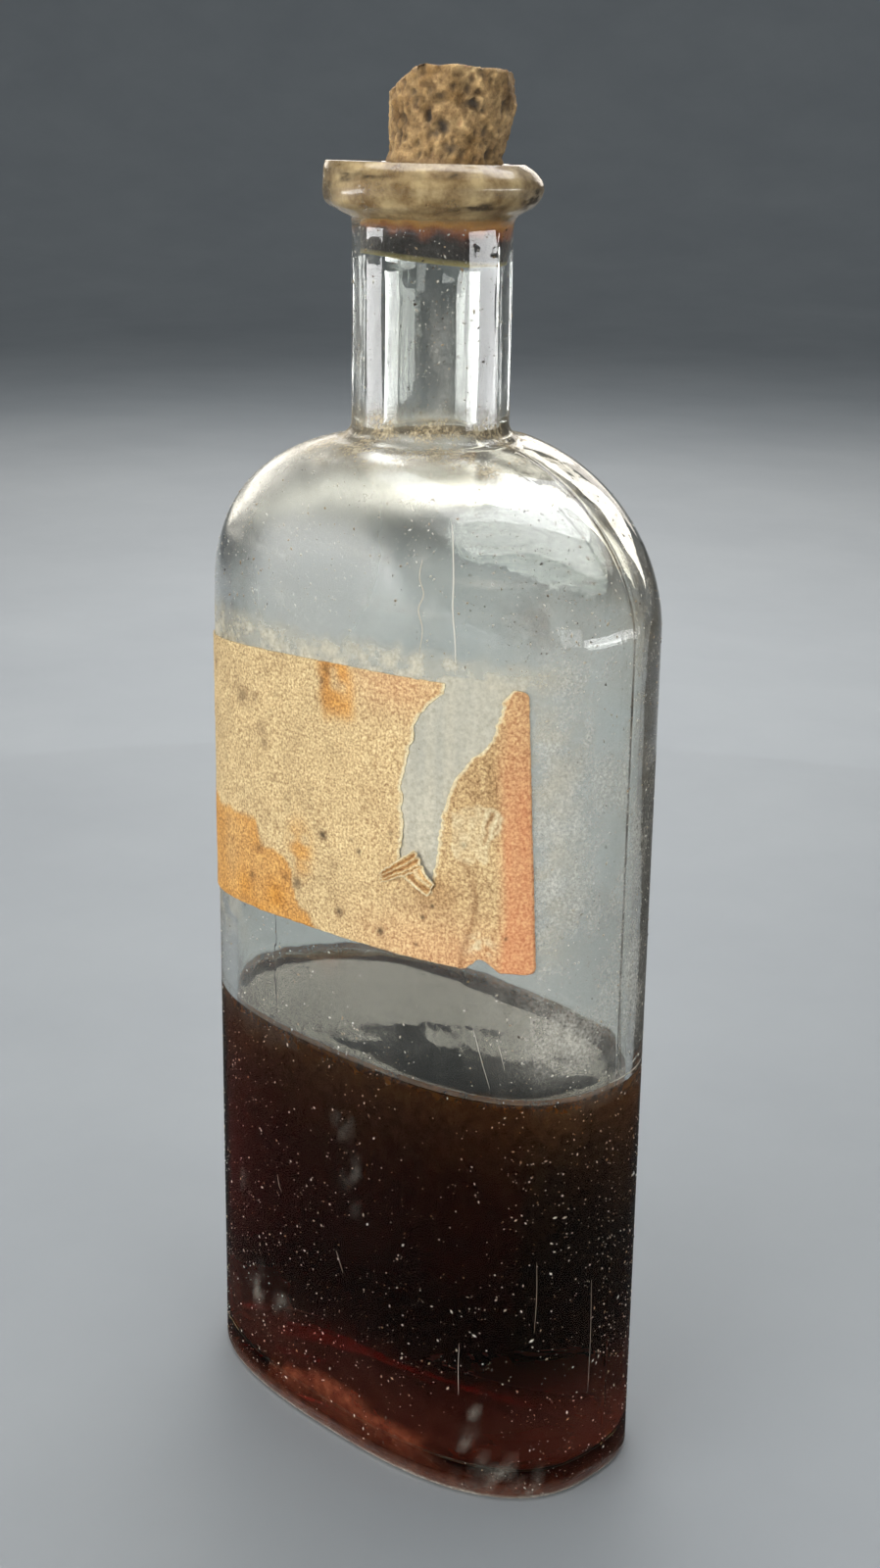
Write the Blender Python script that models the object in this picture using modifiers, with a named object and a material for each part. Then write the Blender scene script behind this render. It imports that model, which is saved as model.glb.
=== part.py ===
"""A corked apothecary bottle: blown oval glass, a worn tapered cork, a torn paper label and the tincture inside.

Metres, +Z up. The origin is the middle of the base, on the surface that the bottle stands on, and the label is on
the -Y side. Run with: blender --background --python part.py
"""

import math

import bmesh
import bpy
import numpy as np
from mathutils import Matrix, Vector

# Outside of the glass
GLASS_HEIGHT = 0.1810
BODY_HALF_WIDTH = 0.0358
BODY_HALF_DEPTH = 0.0198
SHOULDER_HEIGHT = 0.0227
NECK_RADIUS = 0.01065
NECK_FILLET = 0.0021
NECK_LENGTH = 0.0264
LIP_HEIGHT = 0.0070
LIP_RADIUS = 0.0144
HEEL_RADIUS = 0.0010
BEARING_WIDTH = 0.0030
PUSH_UP_HEIGHT = 0.0060

# Thickness of the glass, which is uneven because it was blown
BROAD_WALL = 0.0026
END_WALL = 0.0021
SHOULDER_WALL = 0.0030
NECK_WALL = 0.00435
BASE_THICKNESS = 0.0028
INNER_HEEL_RADIUS = 0.0034
INNER_NECK_FILLET = 0.0030
MOUTH_ROUND = 0.0008
CAVITY_DRIFT = 0.0004

# Curves of the body's section and of the shoulder's arch: 2 is round, and more is squarer
ROUND_POWER = 2.0
BODY_POWER = 2.6
SHOULDER_WIDTH_POWER = 1.85
SHOULDER_DEPTH_POWER = 3.7
SHOULDER_ROUNDING_POWER = 4.9
SHOULDER_CROWN_SHARE = 0.66

# The lip was tooled by hand: it leans to one side, and some of its rings are set back to the other
LIP_LEAN_SHARE = 0.012
LIP_LEAN_DIRECTION = math.radians(45)
LIP_SET_BACK_SHARE = 0.29
LIP_SHARES = (
    # height on the lip, overhang, set back
    (0.00, 0.03, 0.00),
    (0.11, 0.31, 0.40),
    (0.25, 0.76, 0.45),
    (0.42, 0.96, 0.20),
    (0.66, 1.00, 0.00),
    (0.86, 0.86, 0.45),
    (1.00, 0.62, 1.00),
)

# Tincture
LIQUID_LEVEL = 0.0608
LIQUID_CLEARANCE = 0.0003

# Cork, pushed in a little askew, with its top edge broken in two places
CORK_CLEARANCE = 0.00025
CORK_LENGTH = 0.0247
CORK_SEATED_DEPTH = 0.0124
CORK_TAPER = math.radians(6.3)
CORK_LEAN = math.radians(6.6)
CORK_LEAN_DIRECTION = math.radians(45)
CORK_FOOT_ROUND = 0.0007
CORK_TOP_ROUND = 0.0011
BITE_WIDTH = 0.0045
BITE_DROP = 0.0050
BITE_DIRECTION = math.radians(225)
NICK_WIDTH = 0.0017
NICK_DROP = 0.0056
NICK_DIRECTION = math.radians(38)

# Label, pasted on a little askew, with a strip torn out of it
LABEL_WIDTH = 0.0667
LABEL_HEIGHT = 0.0381
LABEL_DROP = 0.0061
LABEL_GAP = 0.0003
LABEL_TILT = math.radians(2.8)
LABEL_BOW = 0.0010
PAPER_THICKNESS = 0.0002
TEAR_SHARES = (
    # height on the label, left and right edges of the tear across it
    (0.28, 0.732, 0.798),
    (0.34, 0.729, 0.805),
    (0.42, 0.727, 0.813),
    (0.50, 0.728, 0.821),
    (0.58, 0.733, 0.833),
    (0.66, 0.742, 0.853),
    (0.73, 0.754, 0.878),
    (0.80, 0.768, 0.923),
    (0.88, 0.793, 0.945),
    (0.95, 0.833, 0.957),
    (1.00, 0.846, 0.976),
)
NOTCH_SHARES = (
    # place across the label, depth of the nick in its foot
    (0.872, 0.0),
    (0.900, 1.0),
    (0.930, 0.0),
)
NOTCH_DEPTH = 0.0014

# Fineness of the meshes
SECTION_POINTS = 48
WALK_POINTS = 960
CORK_STEPS = 32
PUSH_UP_STEPS = 4
HEEL_STEPS = 4
INNER_HEEL_STEPS = 5
SHOULDER_STEPS = 10
FILLET_STEPS = 4
SEAT_STEPS = 3
MOUTH_STEPS = 3
CORK_ROUND_STEPS = 3
LABEL_FOOT_ROWS = 5
LABEL_LEFT_COLUMNS = 20
LABEL_TEAR_COLUMNS = 3
LABEL_RIGHT_COLUMNS = 6
SHARP_ANGLE = math.radians(38)
MERGE_DISTANCE = 0.00001

# Heights and radii that follow from the sizes above
LIP_FOOT = GLASS_HEIGHT - LIP_HEIGHT
NECK_FOOT = LIP_FOOT - NECK_LENGTH
SHOULDER_TOP = NECK_FOOT - NECK_FILLET
SHOULDER_START = SHOULDER_TOP - SHOULDER_HEIGHT
BORE_RADIUS = NECK_RADIUS - NECK_WALL
CORK_FOOT = GLASS_HEIGHT - CORK_SEATED_DEPTH
INNER_HALF_WIDTH = BODY_HALF_WIDTH - END_WALL
INNER_HALF_DEPTH = BODY_HALF_DEPTH - BROAD_WALL
INNER_SHOULDER_HEIGHT = SHOULDER_HEIGHT - SHOULDER_WALL


def clear_scene():
    for obj in list(bpy.data.objects):
        bpy.data.objects.remove(obj, do_unlink=True)


def oval_quarter(half_width, half_depth, power, points):
    """A quarter of |x / half_width| ** power + |y / half_depth| ** power = 1, in even steps from +X to +Y."""
    angle = np.linspace(0.0, math.pi / 2, WALK_POINTS // 4)
    x = half_width * np.cos(angle).clip(0.0) ** (2 / power)
    y = half_depth * np.sin(angle).clip(0.0) ** (2 / power)
    walked = np.concatenate(([0.0], np.cumsum(np.hypot(np.diff(x), np.diff(y)))))
    even = np.linspace(0.0, walked[-1], points + 1)
    return np.interp(even, walked, x), np.interp(even, walked, y)


def oval_walk(half_width, half_depth, power, points):
    """The x and y of a whole oval, anticlockwise from +X."""
    x, y = oval_quarter(half_width, half_depth, power, points // 4)
    whole_x = np.concatenate([x[:-1], -x[:0:-1], -x[:-1], x[:0:-1]])
    whole_y = np.concatenate([y[:-1], y[:0:-1], -y[:-1], -y[:0:-1]])
    return whole_x, whole_y


def oval_ring(half_width, half_depth, height, power=BODY_POWER, shift=0.0):
    """A level ring of points, moved along X by shift."""
    x, y = oval_walk(half_width, half_depth, power, SECTION_POINTS)
    return np.column_stack([x + shift, y, np.full(SECTION_POINTS, height)])


def round_ring(radius, height):
    return oval_ring(radius, radius, height, power=ROUND_POWER)


def leaning_ring(radius, height, set_back=0.0):
    """A round ring that drops towards LIP_LEAN_DIRECTION and is set back the other way."""
    ring = round_ring(radius, height)
    towards = np.array([math.cos(LIP_LEAN_DIRECTION), math.sin(LIP_LEAN_DIRECTION)])
    ring[:, :2] -= set_back * towards
    ring[:, 2] -= LIP_LEAN_SHARE * (ring[:, :2] @ towards)
    return ring


def cork_frame():
    """The cork's own axes, with Z up its middle from its foot, as they stand in the neck."""
    hinge = Vector((-math.sin(CORK_LEAN_DIRECTION), math.cos(CORK_LEAN_DIRECTION), 0.0))
    return Matrix.Translation((0.0, 0.0, CORK_FOOT)) @ Matrix.Rotation(CORK_LEAN, 4, hinge)


def seat_ring(height, lean=0.0):
    """Where the leaning cone that the cork seats in crosses a plane at that height on the neck's axis."""
    frame = np.array(cork_frame())
    angle = np.arange(SECTION_POINTS) / SECTION_POINTS * 2 * math.pi
    out = np.column_stack([np.cos(angle), np.sin(angle), np.zeros(SECTION_POINTS)])
    foot = (BORE_RADIUS * out) @ frame[:3, :3].T + frame[:3, 3]
    side = (math.tan(CORK_TAPER) * out + (0.0, 0.0, 1.0)) @ frame[:3, :3].T
    plane = np.array([lean * math.cos(LIP_LEAN_DIRECTION), lean * math.sin(LIP_LEAN_DIRECTION), 1.0])
    reach = (height - foot @ plane) / (side @ plane)
    return foot + reach[:, None] * side


def loft(bm, rings, first_pole, last_pole):
    """Skins rings of equal counts of points, and closes each end on a pole on the axis."""
    rows = [[bm.verts.new(point) for point in ring] for ring in rings]
    first = bm.verts.new(first_pole)
    last = bm.verts.new(last_pole)
    for i in range(SECTION_POINTS):
        after = (i + 1) % SECTION_POINTS
        bm.faces.new((first, rows[0][after], rows[0][i]))
        for lower, upper in zip(rows, rows[1:]):
            bm.faces.new((lower[i], lower[after], upper[after], upper[i]))
        bm.faces.new((last, rows[-1][i], rows[-1][after]))


def make_object(name, bm, material, collection):
    mesh = bpy.data.meshes.new(name)
    bm.to_mesh(mesh)
    bm.free()
    mesh.materials.append(material)
    mesh.shade_smooth()
    mesh.set_sharp_from_angle(angle=SHARP_ANGLE)
    obj = bpy.data.objects.new(name, mesh)
    collection.objects.link(obj)
    return obj


def make_material(name, colour, roughness, transmission=0.0, ior=1.5):
    material = bpy.data.materials.new(name)
    material.use_nodes = True
    shader = material.node_tree.nodes["Principled BSDF"]
    shader.inputs["Base Color"].default_value = (*colour, 1.0)
    shader.inputs["Metallic"].default_value = 0.0
    shader.inputs["Roughness"].default_value = roughness
    shader.inputs["Transmission Weight"].default_value = transmission
    shader.inputs["IOR"].default_value = ior
    material.diffuse_color = (*colour, 1.0)
    return material


def shoulder_rings(half_width, half_depth, neck_radius, fillet, height, drift=0.0):
    """Rings from the oval wall at SHOULDER_START up over the arch and in to the round neck.

    With rise running from 0 to 1, each half size falls towards a crown inside the neck as (1 - rise ** p) ** (1 / p),
    where p is larger for the depth than for the width. The arch ends where its width meets the fillet, and the
    section turns round on the way.
    """
    crown = SHOULDER_CROWN_SHARE * neck_radius
    width_left = (neck_radius + fillet - crown) / (half_width - crown)
    last_rise = (1 - width_left**SHOULDER_WIDTH_POWER) ** (1 / SHOULDER_WIDTH_POWER)
    rings = []
    for step in range(SHOULDER_STEPS + 1):
        rise = math.sin(step / SHOULDER_STEPS * math.asin(last_rise))
        wide = (1 - rise**SHOULDER_WIDTH_POWER) ** (1 / SHOULDER_WIDTH_POWER)
        deep = (1 - rise**SHOULDER_DEPTH_POWER) ** (1 / SHOULDER_DEPTH_POWER)
        x = crown + (half_width - crown) * wide
        y = crown + (half_depth - crown) * deep
        z = SHOULDER_START + height * rise / last_rise
        power = BODY_POWER + (ROUND_POWER - BODY_POWER) * rise**SHOULDER_ROUNDING_POWER
        rings.append(oval_ring(x, y, z, power, drift * (1 - rise)))
    for step in range(1, FILLET_STEPS + 1):
        turn = step / FILLET_STEPS * math.pi / 2
        inward = 1 - math.sin(turn)
        fillet_x = neck_radius + (x - neck_radius) * inward
        fillet_y = neck_radius + (y - neck_radius) * inward
        fillet_z = SHOULDER_START + height + fillet * (1 - math.cos(turn))
        fillet_power = ROUND_POWER + (power - ROUND_POWER) * inward
        rings.append(oval_ring(fillet_x, fillet_y, fillet_z, fillet_power, drift * (1 - rise) * inward))
    return rings


def underside_rings():
    """The push-up's dome, the flat bearing ring round it, and the heel."""
    flat_width = BODY_HALF_WIDTH - HEEL_RADIUS
    flat_depth = BODY_HALF_DEPTH - HEEL_RADIUS
    dome_width = flat_width - BEARING_WIDTH
    dome_depth = flat_depth - BEARING_WIDTH
    rings = []
    for step in range(1, PUSH_UP_STEPS + 1):
        out = step / PUSH_UP_STEPS
        rings.append(oval_ring(dome_width * out, dome_depth * out, PUSH_UP_HEIGHT * (1 - out**2)))
    for step in range(HEEL_STEPS + 1):
        turn = step / HEEL_STEPS * math.pi / 2
        out = HEEL_RADIUS * math.sin(turn)
        up = HEEL_RADIUS * (1 - math.cos(turn))
        rings.append(oval_ring(flat_width + out, flat_depth + out, up))
    return rings


def floor_rings(clearance=0.0):
    """The inner floor from its dome to the top of its rounded heel, or the same that much inside it."""
    wall_width = INNER_HALF_WIDTH - clearance
    wall_depth = INNER_HALF_DEPTH - clearance
    floor = BASE_THICKNESS + clearance
    floor_width = wall_width - INNER_HEEL_RADIUS
    floor_depth = wall_depth - INNER_HEEL_RADIUS
    rings = []
    for step in range(1, PUSH_UP_STEPS):
        out = step / PUSH_UP_STEPS
        up = floor + PUSH_UP_HEIGHT * (1 - out**2)
        rings.append(oval_ring(floor_width * out, floor_depth * out, up, shift=CAVITY_DRIFT))
    for step in range(INNER_HEEL_STEPS + 1):
        turn = step / INNER_HEEL_STEPS * math.pi / 2
        out = INNER_HEEL_RADIUS * math.sin(turn)
        up = floor + INNER_HEEL_RADIUS * (1 - math.cos(turn))
        rings.append(oval_ring(floor_width + out, floor_depth + out, up, shift=CAVITY_DRIFT))
    return rings


def lip_rings():
    overhang = LIP_RADIUS - NECK_RADIUS
    rings = []
    for up, out, back in LIP_SHARES:
        radius = NECK_RADIUS + overhang * out
        rings.append(leaning_ring(radius, LIP_FOOT + LIP_HEIGHT * up, overhang * LIP_SET_BACK_SHARE * back))
    return rings


def mouth_rings():
    """From the flat top of the lip round into the mouth, and down the seat to the cork's foot."""
    mouth_foot = GLASS_HEIGHT - MOUTH_ROUND
    rings = []
    for step in range(MOUTH_STEPS + 1):
        turn = step / MOUTH_STEPS * math.pi / 2
        ring = seat_ring(mouth_foot + MOUTH_ROUND * math.cos(turn), LIP_LEAN_SHARE)
        outward = ring[:, :2] - ring[:, :2].mean(axis=0)
        outward /= np.linalg.norm(outward, axis=1)[:, None]
        ring[:, :2] += MOUTH_ROUND * (1 - math.sin(turn)) * outward
        rings.append(ring)
    for step in range(1, SEAT_STEPS + 1):
        down = step / SEAT_STEPS
        rings.append(seat_ring(mouth_foot + (CORK_FOOT - mouth_foot) * down, LIP_LEAN_SHARE * (1 - down)))
    return rings


def make_glass(collection):
    """One skin: up the outside from the push-up to the lip, then down the inside to the floor."""
    outside = underside_rings()
    outside += shoulder_rings(BODY_HALF_WIDTH, BODY_HALF_DEPTH, NECK_RADIUS, NECK_FILLET, SHOULDER_HEIGHT)
    inner_shoulder = shoulder_rings(
        INNER_HALF_WIDTH,
        INNER_HALF_DEPTH,
        BORE_RADIUS,
        INNER_NECK_FILLET,
        INNER_SHOULDER_HEIGHT,
        CAVITY_DRIFT,
    )
    inside = mouth_rings() + inner_shoulder[::-1] + floor_rings()[::-1]
    bm = bmesh.new()
    underside_pole = (0.0, 0.0, PUSH_UP_HEIGHT)
    floor_pole = (CAVITY_DRIFT, 0.0, BASE_THICKNESS + PUSH_UP_HEIGHT)
    loft(bm, outside + lip_rings() + inside, underside_pole, floor_pole)
    glass = make_material("bottle_glass", (0.80, 0.83, 0.79), 0.06, transmission=1.0, ior=1.52)
    return make_object("glass_bottle", bm, glass, collection)


def make_liquid(collection):
    """The cavity's floor and wall with a clearance all round, filled to a level top."""
    rings = floor_rings(LIQUID_CLEARANCE)
    half_width = INNER_HALF_WIDTH - LIQUID_CLEARANCE
    half_depth = INNER_HALF_DEPTH - LIQUID_CLEARANCE
    rings.append(oval_ring(half_width, half_depth, LIQUID_LEVEL, shift=CAVITY_DRIFT))
    bm = bmesh.new()
    floor_pole = (CAVITY_DRIFT, 0.0, BASE_THICKNESS + LIQUID_CLEARANCE + PUSH_UP_HEIGHT)
    level_pole = (CAVITY_DRIFT, 0.0, LIQUID_LEVEL)
    loft(bm, rings, floor_pole, level_pole)
    tincture = make_material("tincture", (0.055, 0.016, 0.006), 0.04, transmission=0.6, ior=1.36)
    return make_object("liquid_fill", bm, tincture, collection)


def cork_radius(up):
    """The cork's radius at that distance from its foot."""
    return BORE_RADIUS - CORK_CLEARANCE + math.tan(CORK_TAPER) * up


def cork_profile():
    """Radius and height from the middle of the cork's top, down its side, to the middle of its foot."""
    profile = [(0.0, CORK_LENGTH)]
    for step in range(CORK_ROUND_STEPS + 1):
        turn = step / CORK_ROUND_STEPS * math.pi / 2
        up = CORK_LENGTH - CORK_TOP_ROUND * (1 - math.cos(turn))
        profile.append((cork_radius(CORK_LENGTH - CORK_TOP_ROUND) - CORK_TOP_ROUND * (1 - math.sin(turn)), up))
    for step in range(CORK_ROUND_STEPS + 1):
        turn = step / CORK_ROUND_STEPS * math.pi / 2
        up = CORK_FOOT_ROUND * (1 - math.sin(turn))
        profile.append((cork_radius(CORK_FOOT_ROUND) - CORK_FOOT_ROUND * (1 - math.cos(turn)), up))
    return profile + [(0.0, 0.0)]


def break_corner(cork, name, width, drop, direction, cutters):
    """Takes a flat piece out of the cork's top edge, that wide on the top and that deep down the side."""
    size = 4 * BORE_RADIUS
    slope = math.atan2(drop, width)
    out = cork_radius(CORK_LENGTH) - width / 2 + math.sin(slope) * size / 2
    up = CORK_LENGTH - drop / 2 + math.cos(slope) * size / 2
    bpy.ops.mesh.primitive_cube_add(size=size)
    cutter = bpy.context.object
    cutter.name = name
    cutter.parent = cork
    cutter.location = (out * math.cos(direction), out * math.sin(direction), up)
    cutter.rotation_euler = (0.0, slope, direction)
    cutter.display_type = "WIRE"
    cutter.hide_render = True
    for used in cutter.users_collection:
        used.objects.unlink(cutter)
    cutters.objects.link(cutter)
    broken = cork.modifiers.new(name, "BOOLEAN")
    broken.operation = "DIFFERENCE"
    broken.object = cutter


def make_cork(collection, cutters):
    """A turned and tapered cork, standing on the axis that it is pulled along."""
    bm = bmesh.new()
    row = [bm.verts.new((radius, 0.0, up)) for radius, up in cork_profile()]
    for upper, lower in zip(row, row[1:]):
        bm.edges.new((upper, lower))
    bark = make_material("cork_bark", (0.48, 0.30, 0.15), 0.9)
    cork = make_object("cork_stopper", bm, bark, collection)
    cork.matrix_world = cork_frame()
    turned = cork.modifiers.new("turned", "SCREW")
    turned.steps = CORK_STEPS
    turned.render_steps = CORK_STEPS
    turned.use_merge_vertices = True
    turned.merge_threshold = MERGE_DISTANCE
    break_corner(cork, "bite", BITE_WIDTH, BITE_DROP, BITE_DIRECTION, cutters)
    break_corner(cork, "nick", NICK_WIDTH, NICK_DROP, NICK_DIRECTION, cutters)
    return cork


def wall_point(along, height):
    """The point that lies that far round the body's wall from the middle of its front, LABEL_GAP clear of it."""
    x, y = oval_walk(BODY_HALF_WIDTH, BODY_HALF_DEPTH, BODY_POWER, WALK_POINTS)
    step_x = np.roll(x, -1) - np.roll(x, 1)
    step_y = np.roll(y, -1) - np.roll(y, 1)
    step = np.hypot(step_x, step_y)
    x = x + LABEL_GAP * step_y / step
    y = y - LABEL_GAP * step_x / step
    walked = np.concatenate(([0.0], np.cumsum(np.hypot(np.diff(x), np.diff(y)))))
    girth = walked[-1] + math.hypot(x[0] - x[-1], y[0] - y[-1])
    place = 0.75 * girth + along
    return np.interp(place, walked, x, period=girth), np.interp(place, walked, y, period=girth), height


def label_point(across, up):
    """Where a place on the flat label, given in shares from its lower left corner, lies on the bottle."""
    middle = SHOULDER_START - LABEL_DROP - LABEL_HEIGHT / 2
    notch = NOTCH_DEPTH * float(np.interp(across, *zip(*NOTCH_SHARES)))
    flat_x = (across - 0.5) * LABEL_WIDTH
    flat_z = (up - 0.5) * LABEL_HEIGHT + notch * (1 - up)
    bow = LABEL_BOW * (1 - (2 * across - 1) ** 2)
    along = flat_x * math.cos(LABEL_TILT) - flat_z * math.sin(LABEL_TILT)
    height = middle + bow + flat_x * math.sin(LABEL_TILT) + flat_z * math.cos(LABEL_TILT)
    return wall_point(along, height)


def label_row(up, left, right):
    """Points across the label at one height, with columns that follow the tear's two edges."""
    across = np.concatenate(
        [
            np.linspace(0.0, left, LABEL_LEFT_COLUMNS + 1),
            np.linspace(left, right, LABEL_TEAR_COLUMNS + 1)[1:-1],
            np.linspace(right, 1.0, LABEL_RIGHT_COLUMNS + 1),
        ]
    )
    return [label_point(place, up) for place in across]


def make_label(collection):
    """A sheet bent round the front, open where the strip is torn out, and given its thickness outwards."""
    foot, left, right = TEAR_SHARES[0]
    rows = [label_row(foot * step / LABEL_FOOT_ROWS, left, right) for step in range(LABEL_FOOT_ROWS)]
    rows += [label_row(*edges) for edges in TEAR_SHARES]
    tear = range(LABEL_LEFT_COLUMNS, LABEL_LEFT_COLUMNS + LABEL_TEAR_COLUMNS)
    bm = bmesh.new()
    grid = [[bm.verts.new(point) for point in row] for row in rows]
    for i, (lower, upper) in enumerate(zip(grid, grid[1:])):
        for j in range(len(lower) - 1):
            if i < LABEL_FOOT_ROWS or j not in tear:
                bm.faces.new((lower[j], lower[j + 1], upper[j + 1], upper[j]))
    loose = [vert for vert in bm.verts if not vert.link_faces]
    bmesh.ops.delete(bm, geom=loose, context="VERTS")
    paper = make_material("label_paper", (0.58, 0.39, 0.20), 0.85)
    label = make_object("paper_label", bm, paper, collection)
    sheet = label.modifiers.new("sheet", "SOLIDIFY")
    sheet.thickness = PAPER_THICKNESS
    sheet.offset = 1.0
    return label


def main():
    clear_scene()
    bottle = bpy.data.collections.new("apothecary_bottle")
    cutters = bpy.data.collections.new("cutters")
    bpy.context.scene.collection.children.link(bottle)
    bpy.context.scene.collection.children.link(cutters)
    make_glass(bottle)
    make_liquid(bottle)
    make_cork(bottle, cutters)
    make_label(bottle)


main()
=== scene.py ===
"""Looks of the corked apothecary bottle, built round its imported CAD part.

Shapes are worked out in millimetres, in the CAD's own frame, and put_mesh turns them to metres.
"""

import itertools
import math

import bpy
import numpy as np
from mathutils import Matrix, Vector


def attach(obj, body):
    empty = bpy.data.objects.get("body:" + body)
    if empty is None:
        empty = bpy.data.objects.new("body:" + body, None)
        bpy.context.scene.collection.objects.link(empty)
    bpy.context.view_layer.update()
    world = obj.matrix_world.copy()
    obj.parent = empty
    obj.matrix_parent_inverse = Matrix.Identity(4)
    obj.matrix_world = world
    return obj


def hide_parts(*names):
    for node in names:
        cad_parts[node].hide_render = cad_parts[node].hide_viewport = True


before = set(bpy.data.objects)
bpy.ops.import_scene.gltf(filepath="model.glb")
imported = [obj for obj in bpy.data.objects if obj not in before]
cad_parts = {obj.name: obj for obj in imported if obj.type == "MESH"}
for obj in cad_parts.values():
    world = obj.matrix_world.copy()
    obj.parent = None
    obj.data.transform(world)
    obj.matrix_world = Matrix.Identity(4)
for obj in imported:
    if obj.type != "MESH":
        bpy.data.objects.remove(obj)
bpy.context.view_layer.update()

# Sizes repeated from the CAD part, in millimetres
GLASS_HEIGHT = 181.0
BODY_HALF_WIDTH = 35.8
BODY_HALF_DEPTH = 19.8
SHOULDER_HEIGHT = 22.7
NECK_RADIUS = 10.65
NECK_FILLET = 2.1
NECK_LENGTH = 26.4
LIP_HEIGHT = 7.0
LIP_RADIUS = 14.4
HEEL_RADIUS = 1.0
BEARING_WIDTH = 3.0
PUSH_UP_HEIGHT = 6.0
BROAD_WALL = 2.6
END_WALL = 2.1
SHOULDER_WALL = 3.0
NECK_WALL = 4.35
BASE_THICKNESS = 2.8
INNER_HEEL_RADIUS = 3.4
INNER_NECK_FILLET = 3.0
MOUTH_ROUND = 0.8
CAVITY_DRIFT = 0.4
BODY_POWER = 2.6
SHOULDER_WIDTH_POWER = 1.85
SHOULDER_DEPTH_POWER = 3.7
SHOULDER_ROUNDING_POWER = 4.9
SHOULDER_CROWN_SHARE = 0.66
LIP_LEAN_SHARE = 0.012
LIP_SET_BACK_SHARE = 0.29
# Height on the lip, overhang, set back
LIP_SHARES = (
    (0.00, 0.03, 0.00), (0.11, 0.31, 0.40), (0.25, 0.76, 0.45), (0.42, 0.96, 0.20),
    (0.66, 1.00, 0.00), (0.86, 0.86, 0.45), (1.00, 0.62, 1.00),
)
LIQUID_LEVEL = 60.8
CORK_LENGTH = 24.7
CORK_SEATED_DEPTH = 12.4
CORK_TAPER = math.radians(6.3)
CORK_LEAN = math.radians(6.6)
LEAN_DIRECTION = math.radians(45)
LABEL_WIDTH = 66.7
LABEL_HEIGHT = 38.1
LABEL_DROP = 6.1
LABEL_TILT = math.radians(2.8)
LABEL_BOW = 1.0

# Heights and radii that follow from them
LIP_FOOT = GLASS_HEIGHT - LIP_HEIGHT
NECK_FOOT = LIP_FOOT - NECK_LENGTH
SHOULDER_START = NECK_FOOT - NECK_FILLET - SHOULDER_HEIGHT
BORE_RADIUS = NECK_RADIUS - NECK_WALL
CORK_FOOT = GLASS_HEIGHT - CORK_SEATED_DEPTH
INNER_SHOULDER_HEIGHT = SHOULDER_HEIGHT - SHOULDER_WALL
LABEL_MIDDLE = SHOULDER_START - LABEL_DROP - LABEL_HEIGHT / 2
# Pairs of a half width and a half depth, and what a round section has
OUTER = (BODY_HALF_WIDTH, BODY_HALF_DEPTH)
INNER = (BODY_HALF_WIDTH - END_WALL, BODY_HALF_DEPTH - BROAD_WALL)
ROUND = {"power": 2.0, "roundness": 1.0}

# Mould seam: the two halves of the mould met on this plane, and left a fine ridge up each end
SEAM_Y = 1.8
SEAM_HEIGHT = 0.16
SEAM_WIDTH = 0.22

# The camera of the photograph, fitted to the bottle's outlines
EYE = (202.26, -200.78, 184.74)
LOOK = (-0.67318625, 0.67772231, -0.29582553)
RIGHT = (0.70634413, 0.70773004, 0.01400583)
UP = (-0.21885667, 0.19952609, 0.95513931)
LENS = 48.29


def smooth_step(value, low, high):
    """0 below low and 1 above high, with 3 t^2 - 2 t^3 between them."""
    share = np.clip((value - low) / (high - low), 0.0, 1.0)
    return share * share * (3 - 2 * share)


def band(value, low, full, fading, gone):
    """0 below low and above gone, 1 from full to fading, with smooth steps between them."""
    return smooth_step(value, low, full) * (1 - smooth_step(value, fading, gone))


def bell(value):
    """1 at 0, fading away on both sides as exp(-value ** 2)."""
    return np.exp(-(value**2))


def soft_noise(points, size, seed):
    """Random heights from -1 to 1 at the corners of a lattice with cells of that size, blended between them."""
    table = np.random.default_rng(seed).uniform(-1, 1, (32, 32, 32))
    place = np.asarray(points) / np.asarray(size) + 501.3
    cell = np.floor(place).astype(int)
    part = place - cell
    part = part * part * (3 - 2 * part)
    total = 0.0
    for corner in itertools.product((0, 1), repeat=3):
        weight = np.prod(np.where(corner, part, 1 - part), axis=-1)
        index = (cell + corner) % 32
        total = total + weight * table[index[..., 0], index[..., 1], index[..., 2]]
    return total


def crumb_noise(points, size, seed, octaves=4):
    """Soft noise added to itself at half the size and 0.55 of the height, octave after octave."""
    size = np.asarray(size, float)
    return sum(0.55**k * soft_noise(points, size / 2**k, seed + k) for k in range(octaves))


def distance_along(steps_x, steps_y):
    """How far along a line each of its points lies, from the steps between them."""
    return np.concatenate([[0.0], np.cumsum(np.hypot(steps_x, steps_y))])


# Meshes


def circle(count):
    """That many even directions round a circle."""
    return 2 * math.pi * np.arange(count) / count


def grid_faces(rows, columns, closed):
    """Quads between neighbouring rows of a grid of points. Its columns join up round the back when it is closed."""
    index = np.arange(rows * columns).reshape(rows, columns)
    after = np.roll(index, -1, axis=1) if closed else index[:, 1:]
    start = index if closed else index[:, :-1]
    return np.stack([start[:-1], after[:-1], after[1:], start[1:]], axis=-1).reshape(-1, 4)


def pole_faces(ring, pole, first):
    """Triangles from a ring of points to a pole, facing down before the first ring and up after the last."""
    after = np.roll(ring, -1)
    tips = np.full(len(ring), pole)
    return np.stack([tips, after, ring] if first else [tips, ring, after], axis=-1)


def shell(points, first_pole, last_pole):
    """A skin over closed rings of points (rows, columns, 3), with a pole at each end. Returns points and faces."""
    rows, columns, _ = points.shape
    index = np.arange(rows * columns)
    fans = pole_faces(index[:columns], len(index), True), pole_faces(index[-columns:], len(index) + 1, False)
    faces = grid_faces(rows, columns, True).tolist() + fans[0].tolist() + fans[1].tolist()
    return np.concatenate([points.reshape(-1, 3), [first_pole, last_pole]]), faces


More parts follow.
